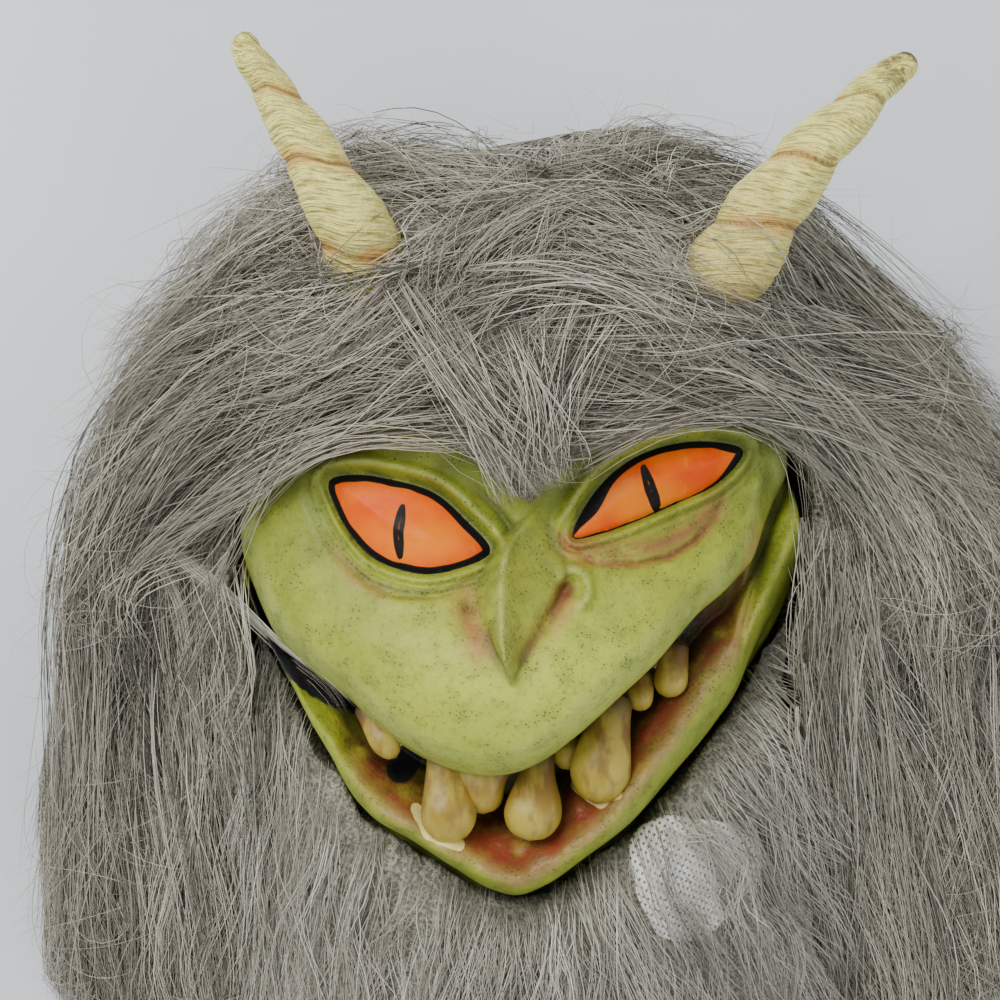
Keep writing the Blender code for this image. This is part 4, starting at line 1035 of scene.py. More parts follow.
def horn_mesh(name, points, root, winding, hand, number):
    """Tapered horn of swollen twists, with fine wrinkles between the grooves."""
    count, around = 170, 60
    place, from_tip = horn_path(points, count)
    ahead = np.gradient(place, axis=0)
    ahead = ahead / np.linalg.norm(ahead, axis=1, keepdims=True)
    side = np.cross(ahead, np.array([0.0, 0.0, 1.0]))
    side = side / np.linalg.norm(side, axis=1, keepdims=True)
    rise = np.cross(side, ahead)
    angle = np.linspace(-0.5 * math.pi, 1.5 * math.pi, around, endpoint=False)[None, :]
    turns = curve(winding, from_tip)[:, None]
    wander = 0.05 * np.sin(angle * 2 + number) + 0.03 * np.sin(angle * 3 + turns * 2)
    phase = turns + wander + hand * (angle / (2 * math.pi) - 0.25)
    part = phase - np.floor(phase)
    swell = np.sin(part * math.pi) ** 0.60
    taper = horn_radius(from_tip, root)[:, None]
    closed = np.sqrt(np.clip(1 - np.clip(1 - from_tip / HORN_TIP, 0, 1) ** 2, 0.0, 1))[:, None]
    wave_x, wave_y = np.cos(angle), np.sin(angle)
    crease = noise(phase * 15 + number, wave_x * 1.6 + number, wave_y * 1.6, 31 + number)
    crease = crease + 0.7 * noise(phase * 24, wave_x * 2.0, wave_y * 2.0, 41 + number)
    lump = noise(from_tip[:, None] * 90, wave_x * 1.2, wave_y * 1.2, 51 + number)
    radius = taper * (0.835 + 0.215 * swell + 0.030 * lump) - 0.00060 * np.clip(crease, -0.3, 1) * swell
    radius = radius * closed
    verts = place[:, None, :] + side[:, None, :] * (radius * wave_x)[:, :, None]
    verts = verts + rise[:, None, :] * (radius * wave_y)[:, :, None]
    obj = mesh_object(name, verts.reshape(-1, 3), ring_faces(count, around))
    sunk = np.clip(crease, 0, 1) * 0.8
    number_on(obj, "groove", (1 - swell).ravel())
    number_on(obj, "crease", (sunk * np.ones_like(part)).ravel())
    number_on(obj, "tip", np.repeat(from_tip, around))
    number_on(obj, "turns", phase.ravel())
    number_on(obj, "round", (wave_x * np.ones_like(part)).ravel())
    close_ends(obj)
    return obj


def horn_finish(name, colours, worn):
    """Pale yellow latex with orange-brown in the grooves, darker brown at their bottoms, and a worn tip."""
    f = Finish(name, 0.5, 0.4)
    tip = f.number("tip")
    tone = f.mix(f.step(tip, 0.060, 0.140), shade(colours["horn"]), shade((204, 184, 112)))
    fine = f.grain(140, 5, rough=0.6)
    tone = f.coat(tone, fine, 0.48, 0.66, 0.40, (190, 166, 92))
    lines = f.wrap("turns", 30.0, "round", 1.1)
    tone = f.coat(tone, lines, 0.48, 0.68, 0.72, (160, 138, 58))
    hair_lines = f.wrap("turns", 75.0, "round", 2.0)
    tone = f.coat(tone, hair_lines, 0.54, 0.68, 0.75, (112, 96, 40))
    groove = f.sum("MULTIPLY", f.number("groove"), f.step(f.grain(26, 2), 0.38, 0.60, 0.15, 1.0))
    tone = f.coat(tone, groove, 0.22, 0.75, 0.70, (214, 150, 78))
    tone = f.coat(tone, f.number("groove"), 0.62, 0.96, 0.80, (112, 84, 40))
    chips = f.sum("MULTIPLY", f.step(f.grain(75, 5, rough=0.7), 0.50, 0.58), f.step(tip, 0.030, 0.004))
    tone = f.mix(f.sum("MULTIPLY", chips, worn), tone, shade((92, 68, 40)))
    speck = f.sum("MULTIPLY", f.step(f.cells(700), 0.24, 0.12), 0.6)
    tone = f.mix(speck, tone, shade((104, 92, 50)))
    f.base(tone)
    f.rough(f.step(fine, 0.3, 0.7, 0.42, 0.6))
    f.bump(f.sum("ADD", lines, f.sum("MULTIPLY", f.grain(420, 4), 0.4)), -0.0022, 1.0)
    return f.material


def flow(strokes, x, y):
    """Direction in which hair lies at a place, from the strokes near it."""
    dx = np.zeros(np.shape(x))
    dy = np.zeros(np.shape(x))
    for stroke in strokes:
        for (ax, ay), (bx, by) in zip(stroke, stroke[1:]):
            ex, ey = bx - ax, by - ay
            size = math.hypot(ex, ey)
            s = np.clip(((x - ax) * ex + (y - ay) * ey) / size ** 2, 0, 1)
            gap = (x - ax - s * ex) ** 2 + (y - ay - s * ey) ** 2
            pull = size / (gap + FLOW_REACH ** 2) ** FLOW_FADE
            dx = dx + pull * ex / size
            dy = dy + pull * ey / size
    size = np.hypot(dx, dy) + 1e-9
    return dx / size, dy / size


def trace(strokes, start, length, points, turn):
    """Paths that follow the flow from their starts, each bending a little its own way."""
    steps = (points - 1) * 3
    place = np.array(start, dtype=float)
    path = [place.copy()]
    hx, hy = flow(strokes, place[:, 0], place[:, 1])
    for k in range(steps):
        fx, fy = flow(strokes, place[:, 0], place[:, 1])
        hx, hy = hx * 0.45 + fx * 0.55, hy * 0.45 + fy * 0.55
        bend = turn[:, 0] * np.sin(turn[:, 1] + turn[:, 2] * (k + 1) / steps)
        gx = hx * np.cos(bend) - hy * np.sin(bend)
        gy = hx * np.sin(bend) + hy * np.cos(bend)
        size = np.hypot(gx, gy) + 1e-9
        place = place + np.column_stack([gx, gy]) / size[:, None] * (length / steps)[:, None]
        path.append(place.copy())
    return np.stack(path[::3], axis=1)


def bends(rng, count, much, fast):
    """How far, from where and how quickly each path bends."""
    return np.column_stack([rng.uniform(0.1, much, count), rng.uniform(0, 6.28, count),
                            rng.uniform(2, fast, count)])


def off_window(path, keep_out):
    """Move points that stand over the face back to its edge."""
    loop = loop_points(WINDOW)
    ahead = np.roll(loop, -1, axis=0) - loop
    loop = np.concatenate([loop + ahead * share for share in (0.0, 0.25, 0.5, 0.75)])
    x, y = path[:, :, 0].ravel(), path[:, :, 1].ravel()
    deep = inside(WINDOW, x, y)
    want = np.repeat(keep_out, path.shape[1]) + 0.007 * smooth(-0.08, 0.02, y)
    want = want + 0.006 * smooth(0.105, 0.122, np.abs(x)) * smooth(-0.12, -0.08, y) * smooth(0.05, 0.02, y)
    move = deep > want
    if move.any():
        px, py = x[move], y[move]
        gap = (px[:, None] - loop[None, :, 0]) ** 2 + (py[:, None] - loop[None, :, 1]) ** 2
        near = loop[gap.argmin(axis=1)]
        shift = unit(near - np.column_stack([px, py])) * (deep[move] - want[move])[:, None]
        x[move] += shift[:, 0]
        y[move] += shift[:, 1]
    path[:, :, 0] = x.reshape(path.shape[:2])
    path[:, :, 1] = y.reshape(path.shape[:2])
    return path


def off_horns(path, allow):
    """Move hair out of the horns, to one side of them or over them."""
    flat = path.reshape(-1, 3)
    allow = np.repeat(allow, path.shape[1])
    for line, root in ((HORN_LEFT_LINE, HORN_LEFT_ROOT), (HORN_RIGHT_LINE, HORN_RIGHT_ROOT)):
        place, from_tip = horn_path(line, 26)
        radius = horn_radius(from_tip, root)
        near = ((flat[:, None, :2] - place[None, :, :2]) ** 2).sum(axis=2)
        pick = near.argmin(axis=1)
        gap = np.sqrt(near[np.arange(len(flat)), pick])
        size = radius[pick]
        deep = (gap < size * 1.08) & (flat[:, 2] < place[pick, 2] + size * 1.1)
        below = flat[:, 2] < place[pick, 2] - size * 1.05
        deep &= ~below
        above = deep & allow
        rise = np.sqrt(np.maximum((size[above] * 1.12) ** 2 - gap[above] ** 2, 0))
        flat[above, 2] = place[pick[above], 2] + rise + 0.0008
        aside = deep & ~allow
        toward = unit(flat[aside, :2] - place[pick[aside], :2])
        flat[aside, :2] = place[pick[aside], :2] + toward * (size[aside] * 1.12)[:, None]
    return flat.reshape(path.shape)


def spread(rng, guides, owner, width, thick, curl):
    """Strands of each lock, gathered toward its tip."""
    count, points = len(owner), guides.shape[1]
    path = guides[owner].copy()
    side = unit(np.cross(unit(np.gradient(path, axis=1)), np.array([0.0, 0.0, 1.0])))
    t = np.linspace(0, 1, points)[None, :]
    angle = rng.uniform(0, 2 * math.pi, count)
    far = np.sqrt(rng.uniform(0, 1, count))
    across = (np.cos(angle) * far)[:, None] * width
    up = (np.sin(angle) * far)[:, None] * thick
    gather = rng.uniform(0.05, 0.60, count)[:, None]
    drift = rng.standard_t(3, count).clip(-4, 4)[:, None] * width * 0.7
    squeeze = 1 - gather * np.sin(np.clip(t * 1.15, 0, 1) * math.pi / 2)
    wave = np.zeros((count, points))
    for power in (1.0, 2.3):
        phase = rng.uniform(0, 2 * math.pi, count)[:, None]
        swing = np.sin(phase + t * power * math.pi * 1.6)
        wave = wave + curl / power * rng.normal(0, 1, count)[:, None] * swing
    path = path + side * (across * squeeze + drift * (t - 0.35) + wave * (0.2 + t))[:, :, None]
    lift = up * squeeze + 0.5 * wave * np.cos(angle)[:, None] * (0.3 + t)
    path[:, :, 2] += lift
    return path


def strands(name, path, width, tone):
    """Closed three-sided tapering strands in one mesh, with a place each on the texture."""
    count, points = path.shape[:2]
    ahead = unit(np.gradient(path, axis=1))
    side = unit(np.cross(ahead, np.array([0.12, 0.07, 1.0])))
    rise = np.cross(side, ahead)
    t = np.linspace(0, 1, points)[None, :]
    radius = 0.55 + 0.45 * np.sin(np.clip(t * 4, 0, 1) * math.pi / 2)
    radius = width[:, None] * radius * (1 - 0.80 * t ** 2.5)
    rings = []
    for k in range(3):
        a = math.pi / 2 + k * 2 * math.pi / 3
        beside = side * (radius * math.cos(a))[:, :, None]
        rings.append(path + beside + rise * (radius * math.sin(a))[:, :, None])
    ring = np.stack(rings, axis=2)[:, :-1]
    body = points - 1
    stride = body * 3 + 1
    verts = np.concatenate([ring.reshape(count, body * 3, 3), path[:, -1:, :]], axis=1).reshape(-1, 3)
    faces, marks = [], []
    for r in range(body - 1):
        for k in range(3):
            a, b = r * 3 + k, r * 3 + (k + 1) % 3
            va, vb = r / body, (r + 1) / body
            ua, ub = k / 3, (k + 1) / 3
            faces.append((a, b, b + 3))
            marks.append(((ua, va), (ub, va), (ub, vb)))
            faces.append((a, b + 3, a + 3))
            marks.append(((ua, va), (ub, vb), (ua, vb)))
    last = (body - 1) * 3
    for k in range(3):
        faces.append((last + k, last + (k + 1) % 3, body * 3))
        marks.append(((k / 3, (body - 1) / body), ((k + 1) / 3, (body - 1) / body), ((k + 0.5) / 3, 1.0)))
    faces.append((2, 1, 0))
    marks.append(((0.6, 0.0), (0.3, 0.0), (0.45, 0.02)))
    faces = np.array(faces)
    marks = np.array(marks)
    a, b, c = [verts[faces[:6, i]] for i in range(3)]
    outward = np.cross(b - a, c - a)
    centre = path[0, :2].mean(axis=0)
    if (outward * ((a + b + c) / 3 - centre)).sum() < 0:
        faces = faces[:, ::-1]
        marks = marks[:, ::-1]
    every = (faces[None, :, :] + (np.arange(count) * stride)[:, None, None]).reshape(-1, 3)
    obj = mesh_object(name, verts, every)
    cells = int(math.ceil(math.sqrt(count)))
    corner = np.column_stack([np.arange(count) % cells, np.arange(count) // cells])
    uv = (corner[:, None, None, :] + 0.06 + 0.88 * marks[None, :, :, :]) / cells
    layer = obj.data.uv_layers.new(name="OFBake")
    layer.data.foreach_set("uv", uv.astype(np.float32).ravel())
    number_on(obj, "tone", np.repeat(tone, stride))
    along = np.concatenate([np.repeat(np.arange(body) / body, 3), [1.0]])
    number_on(obj, "along", np.tile(along, count))
    return obj


def hair_finish(name, dark, middle, light):
    """Silky artificial hair, each strand of its own grey."""
    f = Finish(name, 0.42, 0.55)
    tone = f.number("tone")
    low = f.mix(f.step(tone, 0.0, 0.5), shade(dark), shade(middle))
    full = f.mix(f.step(tone, 0.5, 1.0), low, shade(light))
    patchy = f.grain(300, 2)
    full = f.mix(f.step(patchy, 0.35, 0.65, 0.0, 0.18), full, shade(dark))
    # Painted shade: each strand darker toward its root, under the hair over it.
    root = f.step(f.number("along"), 0.0, 0.15, 0.25, 0.0)
    f.base(f.mix(root, full, shade(dark)))
    f.rough(f.step(patchy, 0.3, 0.7, 0.36, 0.52))
    f.shader.inputs["Anisotropic"].default_value = 0.35
    return f.material


def under_finish(name, dark, light):
    """Matted hair close to the head, darker than the loose strands and darker in its clumps, a painted shade
    of the gaps between strands.
    """
    f = Finish(name, 0.75, 0.2)
    fibre = f.grain(620, 4, (1.0, 1.0, 0.07), 0.6)
    clump = f.grain(60, 3, (1.0, 1.0, 0.25))
    # Painted shade: dark fibres and darker clumps stand for the shadow between the loose strands.
    tone = f.mix(f.step(fibre, 0.38, 0.66), shade(dark), shade(light))
    f.base(f.mix(f.step(clump, 0.35, 0.7, 0.0, 0.45), tone, shade(dark)))
    f.rough(f.step(fibre, 0.3, 0.7, 0.65, 0.85))
    f.bump(fibre, 0.0025, 0.9)
    return f.material


def under_hair(name, node, voxel, shrink, keep):
    """Soft closed mass of hair made from a hair solid, a little smaller than it."""
    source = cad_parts[node]
    obj = bpy.data.objects.new(name, source.data.copy())
    bpy.context.scene.collection.objects.link(obj)
    bm = bmesh.new()
    bm.from_mesh(obj.data)
    bmesh.ops.remove_doubles(bm, verts=bm.verts, dist=0.00002)
    bm.to_mesh(obj.data)
    bm.free()
    tool = obj.modifiers.new("remesh", "REMESH")
    tool.mode = "VOXEL"
    tool.voxel_size = voxel
    tool.use_smooth_shade = True
    tool = obj.modifiers.new("soften", "SMOOTH")
    tool.iterations = 6
    tool.factor = 0.5
    apply_all(obj)
    co = points_of(obj)
    normal = np.empty(len(co) * 3, dtype=np.float32)
    obj.data.vertices.foreach_get("normal", normal)
    normal = normal.reshape(-1, 3)
    rough = 0.0016 * noise(co[:, 0] * 160, co[:, 1] * 60, co[:, 2] * 100, 61)
    moved = co - normal * (shrink - rough)[:, None]
    moved[:, 2] = np.maximum(moved[:, 2], co[:, 2].min())
    move_points(obj, moved)
    tool = obj.modifiers.new("fewer", "DECIMATE")
    tool.ratio = min(1.0, keep / (2 * len(obj.data.polygons)))
    apply_all(obj)
    obj.data.polygons.foreach_set("use_smooth", np.ones(len(obj.data.polygons), dtype=bool))
    return obj


def in_reach(path):
    """Strands that stay inside the room that hair may take."""
    low, high = np.array(HAIR_ROOM)
    return ((path > low) & (path < high)).all(axis=(1, 2))


def scatter(rng, count, box_low, box_high, rule):
    """Random places in a box where a rule holds."""
    out = np.empty((0, 2))
    while len(out) < count:
        p = rng.uniform(box_low, box_high, (count * 2, 2))
        out = np.vstack([out, p[rule(p[:, 0], p[:, 1])]])
    return out[:count]


def soften(path, turns):
    """Even out the bends of paths, keeping their ends."""
    for turn in range(turns):
        path[:, 1:-1] = (path[:, :-2] + 2 * path[:, 1:-1] + path[:, 2:]) / 4
    return path


def depth_in(outline, path):
    """How far each point of the paths lies inside an outline."""
    return over(lambda x, y: inside(outline, x, y), path)


def shorten(path, limit):
    """End each path where it would pass the edge of the hair."""
    deep = depth_in(WIG_OUTLINE, path)
    at = np.arange(path.shape[1])
    for k in np.nonzero((deep < limit[:, None]).any(axis=1))[0]:
        out = int(np.argmax(deep[k] < limit[k]))
        if out == 0:
            continue
        share = (deep[k, out - 1] - limit[k]) / (deep[k, out - 1] - deep[k, out] + 1e-9)
        want = np.linspace(0, out - 1 + share, path.shape[1])
        path[k] = np.column_stack([np.interp(want, at, path[k, :, c]) for c in range(path.shape[2])])
    return path[deep[:, 0] > limit]


def stroke_paths(rng, strokes, count, points, aside, least):
    """Paths that follow a part of a stroke, each a little to its side."""
    out = []
    for k in range(count):
        stroke = np.array(strokes[k % len(strokes)])
        along = np.linspace(0, 1, len(stroke))
        first = rng.uniform(0.0, 1.0 - least)
        t = np.linspace(first, min(1.0, first + rng.uniform(least, 1.0)), points)
        x = curve(np.column_stack([along, stroke[:, 0]]), t)
        y = curve(np.column_stack([along, stroke[:, 1]]), t)
        hx, hy = np.gradient(x), np.gradient(y)
        size = np.hypot(hx, hy) + 1e-9
        off = rng.normal(0, aside) + rng.normal(0, aside * 0.7) * (t - first)
        out.append(np.column_stack([x - hy / size * off, y + hx / size * off]))
    return np.stack(out)


def raised(rng, guide, low, high, arch):
    """Give flat paths their height over the head, each at its own depth in the hair."""
    count = len(guide)
    level = soften(over(hair_level, guide), 2)
    t = np.linspace(0, 1, guide.shape[1])[None, :]
    lift = rng.uniform(low, high, count)[:, None] + rng.uniform(0, arch, count)[:, None] * np.sin(t * math.pi)
    return np.concatenate([guide, (level + lift)[:, :, None]], axis=2)


def wig_paths(rng, locks, per_lock, points):
    """Locks that follow the combed flow of the wig over its whole surface."""
    def cover(x, y):
        return (inside(WIG_OUTLINE, x, y) > 0.012) & (inside(WINDOW, x, y) < -0.003)

    def scalp(x, y):
        return cover(x, y) & (np.abs(x) < 0.13) & (y > 0.035) & (y < 0.185)

    def sides(x, y):
        return cover(x, y) & (np.abs(np.abs(x) - 0.150) < 0.028) & (y < 0.07)

    free = int(locks * 0.75)
    wide, high = int(free * 0.46), int(free * 0.30)
    start = np.vstack([scatter(rng, wide, (-0.25, -0.28), (0.26, 0.20), cover),
                       scatter(rng, high, (-0.14, 0.03), (0.14, 0.19), scalp),
                       scatter(rng, free - wide - high, (-0.2, -0.2), (0.2, 0.08), sides)])
    length = rng.uniform(0.09, 0.25, free)
    turn = bends(rng, free, 0.75, 8)
    guide = np.concatenate([trace(WIG_FLOW, start, length, points, turn),
                            stroke_paths(rng, WIG_FLOW, int(locks * 0.42), points, 0.011, 0.4),
                            stroke_paths(rng, PEAK_FLOW, int(locks * 0.07), points, 0.005, 0.6),
                            stroke_paths(rng, NEST_FLOW, int(locks * 0.16), points, 0.012, 0.4)])
    guide = guide[depth_in(WINDOW, guide).max(axis=1) < 0.017]
    guide = off_window(guide, rng.uniform(-0.006, 0.002, len(guide)))
    guide = soften(guide, 3)
    guide = shorten(guide, rng.uniform(-0.004, 0.012, len(guide)))
    guide = raised(rng, rng.permutation(guide)[:locks], -0.002, 0.009, 0.008)
    owner = np.repeat(np.arange(len(guide)), per_lock)
    path = spread(rng, guide, owner, 0.0115, 0.0050, 0.0044)
    stay = depth_in(WINDOW, path).max(axis=1) < 0.014
    path, owner = path[stay], owner[stay]
    path = soften(off_window(path, rng.uniform(-0.005, 0.003, len(path))), 2)
    limit = np.where(rng.uniform(0, 1, len(path)) < 0.05, -0.010, rng.uniform(-0.005, 0.003, len(path)))
    starts_in = depth_in(WIG_OUTLINE, path)[:, 0] > limit
    path, owner, limit = path[starts_in], owner[starts_in], limit[starts_in]
    return shorten(path, limit), owner


def hanging_paths(rng, count, points):
    """Hair that falls over the edge of the wig and down its steep sides to the table."""
    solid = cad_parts["wig"].data
    tree = BVHTree.FromPolygons([v.co[:] for v in solid.vertices], [p.vertices[:] for p in solid.polygons])
    loop = loop_points(WIG_OUTLINE)
    size = len(loop)
    mine = np.arange(count) // HANGING_LOCK
    locks = count // HANGING_LOCK + 1
    lock = rng.uniform(0, size, locks)[mine][:, None]
    lean = rng.normal(0, 0.35, locks)[mine][:, None]
    ends = (rng.uniform(0.002, 0.030, locks)[mine] * rng.uniform(0.4, 1.0, count))[:, None]
    layer = rng.uniform(0.0004, 0.0055, count)[:, None]
    aside = rng.normal(0, 0.010, count)[:, None]
    wave = rng.uniform(0, 6.28, count)[:, None]
    t = np.linspace(0, 1, points)[None, :]
    shift = aside * (1 - 0.55 * t) + lean * 0.09 * t ** 1.3 + 0.004 * np.sin(wave + 5 * t)
    at = (lock + shift / EDGE_STEP) % size
    here = loop[at.astype(int) % size]
    ahead = loop[(at.astype(int) + 1) % size] - here
    spot = here + ahead * (at % 1.0)[:, :, None]
    out = unit(np.stack([-ahead[:, :, 1], ahead[:, :, 0]], axis=2))
    facing = (out * (spot - np.array([0.0, -0.04]))).sum(axis=2, keepdims=True)
    out = np.where(facing < 0, -out, out)
    on_top = np.broadcast_to(t < 0.26, at.shape)
    inset = np.where(on_top, 0.024 - 0.08 * t, 0.004)[:, :, None]
    near = spot - out * inset
    level = over(hair_level, near)
    high = np.where(on_top, level + layer, level + (ends - level) * np.maximum((t - 0.16) / 0.84, 0) ** 0.9)
    spot = np.where(on_top[:, :, None], near, spot)
    for k, step in zip(*np.nonzero(~on_top)):
        away = out[k, step]
        start = Vector((*(spot[k, step] + away * 0.09), max(high[k, step], 0.001)))
        hit = tree.ray_cast(start, Vector((-away[0], -away[1], 0.0)), 0.16)[0]
        if hit is not None:
            spot[k, step] = hit[:2]
        spot[k, step] += away * layer[k, 0]
    path = soften(np.concatenate([spot, np.maximum(high, 0.002)[:, :, None]], axis=2), 1)
    opening = (np.abs(path[:, :, 0]) < 0.110) & (path[:, :, 1] < -0.20) & (path[:, :, 2] < 0.12)
    return path[~opening.any(axis=1)]


def loose_paths(rng, count, points, starts, size):
    """Single hairs that leave the mass in wide arcs."""
    place = starts.copy()
    hx, hy = flow(WIG_FLOW, place[:, 0], place[:, 1])
    heading = np.arctan2(hy, hx) + rng.normal(0, 0.9, count)
    turn = rng.normal(0, 1, count) * 1.8
    length = rng.uniform(0.4, 1.0, count) * size
    path = []
    lift = rng.uniform(0.002, 0.016, count)
    level = hair_level(place[:, 0], place[:, 1])
    for k in range(points):
        t = k / (points - 1)
        here = np.maximum(hair_level(place[:, 0], place[:, 1]), level - 0.12 * t)
        path.append(np.column_stack([place, here + lift * math.sin(t * 2.2) + 0.002]))
        bend = heading + turn * t
        place = place + np.column_stack([np.cos(bend), np.sin(bend)]) * (length / (points - 1))[:, None]
    path = np.stack(path, axis=1)
    keep = depth_in(WINDOW, path).max(axis=1) < rng.uniform(0.0, 0.02, count)
    return shorten(path[keep], rng.uniform(-0.020, -0.002, int(keep.sum())))


def tint(name, words, colour):
    """Colour property with a display colour as its default."""
    return bpy.props.FloatVectorProperty(name=name, description=words, size=3, min=0.0, max=1.0,
                                         subtype="COLOR_GAMMA", default=tuple(c / 255 for c in colour))


class GoblinSettings(bpy.types.PropertyGroup):
    """Sizes and colours of the mask."""
    green: tint("Green", "Green of the rubber", (142, 152, 40))
    # The muzzle green is a painted highlight and the olive a painted shade on the brow and sides.
    muzzle: tint("Muzzle green", "Lighter green of the muzzle", (188, 198, 72))
    olive: tint("Olive", "Darker green of the brow and cheeks", (100, 110, 26))
    lip: tint("Lip", "Red-brown of the lip", (132, 50, 34))
    eye: tint("Eyes", "Orange of the eyes", (236, 104, 0))
    tooth: tint("Teeth", "Ochre of the teeth", (168, 144, 46))
    spill: tint("Spilt paint", "Pale yellow paint beside the teeth", (226, 210, 130))
    horn: tint("Horns", "Pale yellow of the horns", (255, 248, 140))
    hair: tint("Hair", "Grey of the wig", (184, 178, 160))
    beard: tint("Beard", "Grey of the beard", (188, 183, 167))
    skin_triangles: bpy.props.IntProperty(name="Skin triangles", description="Triangles of the rubber skin",
                                          default=136000, min=20000, max=190000)
    locks: bpy.props.IntProperty(name="Locks", description="Locks of hair in each part of the wig",
                                 default=150, min=10, max=180)
    strand: bpy.props.FloatProperty(name="Strand", description="Half the width of a strand of hair",
                                    default=0.00028, min=0.0001, max=0.001, unit="LENGTH", precision=5)


def colours_of(settings):
    """All colours as 8-bit numbers."""
    names = ("green", "muzzle", "olive", "lip", "eye", "tooth", "spill", "horn", "hair", "beard")
    return {name: tuple(c * 255 for c in getattr(settings, name)) for name in names}


class GOBLIN_OT_skin(bpy.types.Operator):
    """Make the painted rubber skin"""
    bl_idname = "goblin.skin"
    bl_label = "Rubber skin"

    def execute(self, context):
        """Carve, thin and paint the skin."""
        settings = context.scene.goblin
        colours = colours_of(settings)
        obj = skin_mesh(SKIN_COLUMNS, SKIN_ROWS, settings.skin_triangles)
        paint_skin(obj, colours)
        finish_piece(obj, skin_finish(colours), ["mask"])
        return {"FINISHED"}


class GOBLIN_OT_teeth(bpy.types.Operator):
    """Make the eight crooked teeth"""
    bl_idname = "goblin.teeth"
    bl_label = "Teeth"

    def execute(self, context):
        """Round each tooth and set it under the muzzle."""
        finish = tooth_finish(colours_of(context.scene.goblin))
        for k, tooth in enumerate(TEETH):
            obj = tooth_mesh("tooth_%d" % (k + 1), tooth, k)
            finish_piece(obj, finish, ["mask"])
        return {"FINISHED"}


class GOBLIN_OT_horns(bpy.types.Operator):
    """Make the two twisted horns"""
    bl_idname = "goblin.horns"
    bl_label = "Horns"

    def execute(self, context):
        """Twist, wrinkle and paint both horns."""
        colours = colours_of(context.scene.goblin)
        for node, line, root, turns, hand, number, worn in (
                ("horn_left", HORN_LEFT_LINE, HORN_LEFT_ROOT, LEFT_TURNS, -1, 1, 0.35),
                ("horn_right", HORN_RIGHT_LINE, HORN_RIGHT_ROOT, RIGHT_TURNS, 1, 2, 0.85)):
            obj = horn_mesh(node + "_skin", line, root, turns, hand, number)
            finish = horn_finish(node + "_latex", colours, worn)
            finish_piece(obj, finish, [node])
        return {"FINISHED"}


class GOBLIN_OT_under(bpy.types.Operator):
    """Make the matted hair under the loose strands"""
    bl_idname = "goblin.under"
    bl_label = "Hair close to the head"

    def execute(self, context):
        """Soften both hair solids."""
        obj = under_hair("wig_under", "wig", 0.0034, 0.0018, 26000)
        finish_piece(obj, under_finish("wig_matted_hair", (88, 85, 74),
                                       (164, 159, 143)), ["wig"])
        obj = under_hair("beard_under", "beard", 0.0030, 0.003, 14000)
        finish = under_finish("beard_matted_fur", (112, 109, 98), (192, 187, 172))
        finish_piece(obj, finish, ["beard"])
        return {"FINISHED"}


class GOBLIN_OT_wig(bpy.types.Operator):
    """Lay the long strands of the wig"""
    bl_idname = "goblin.wig"
    bl_label = "Wig strands"

    def execute(self, context):
        """Comb the locks along the flow and add loose hairs."""
        settings = context.scene.goblin
        grey = colours_of(settings)["hair"]
        finish = hair_finish("wig_grey_hair", tuple(c * 0.50 for c in grey), grey, (250, 245, 228))
        rng = np.random.default_rng(HAIR_SEED)
        for part in range(3):
            path, owner = wig_paths(rng, settings.locks, LOCK_STRANDS, STRAND_POINTS)
            tone = rng.normal(0.45, 0.17, settings.locks)[owner] + rng.normal(0, 0.22, len(owner))
            tone = np.clip(tone, 0, 1)
            width = settings.strand * rng.uniform(0.6, 1.2, len(owner))
            outer = scatter(rng, LOOSE_HAIRS, (-0.24, -0.26), (0.26, 0.20),
                            lambda x, y: (inside(WIG_OUTLINE, x, y) > 0.0) & (inside(WINDOW, x, y) < -0.008))
            loose = loose_paths(rng, LOOSE_HAIRS, STRAND_POINTS, outer, 0.13)
            wisps = self.wisps(rng, 40 if part == 0 else 14)
            path = np.concatenate([path, loose, wisps])
            tone = np.concatenate([tone, rng.uniform(0.2, 1.0, len(loose)),
                                   rng.uniform(0.6, 1.0, len(wisps))])
            width = np.concatenate([width, np.full(len(loose) + len(wisps), settings.strand * 0.55)])
            path[:, :, 2] = np.maximum(path[:, :, 2], 0.002)
            path = off_horns(path, rng.uniform(0, 1, len(path)) < 0.07)
            good = in_reach(path)
            obj = strands("wig_strands_%d" % (part + 1), path[good], width[good], tone[good])
            finish_piece(obj, finish, ["wig"])
        path = hanging_paths(rng, SIDE_STRANDS, 8)
        path = path[in_reach(path)]
        tone = np.clip(rng.normal(0.42, 0.22, len(path)), 0, 1)
        width = settings.strand * rng.uniform(0.7, 1.5, len(path))
        obj = strands("wig_sides", path, width, tone)
        finish_piece(obj, finish, ["wig"])
        return {"FINISHED"}

    def wisps(self, rng, count):
        """Thin light locks that hang over the left cheek."""
        guide = stroke_paths(rng, WISPS, count, STRAND_POINTS, 0.0022, 0.8)
        u, v = guide[:, :, 0] / FACE_HALF, guide[:, :, 1] / FACE_HALF
        skin = face_height(u, v) * FACE_HALF
        on_face = depth_in(WINDOW, guide) > 0
        hair = hair_level(guide[:, :, 0], guide[:, :, 1])
        level = np.where(on_face, skin, np.maximum(hair, skin)) + 0.004
        level = soften(level, 4) + rng.uniform(0.0, 0.004, count)[:, None]
        return np.concatenate([guide, level[:, :, None]], axis=2)


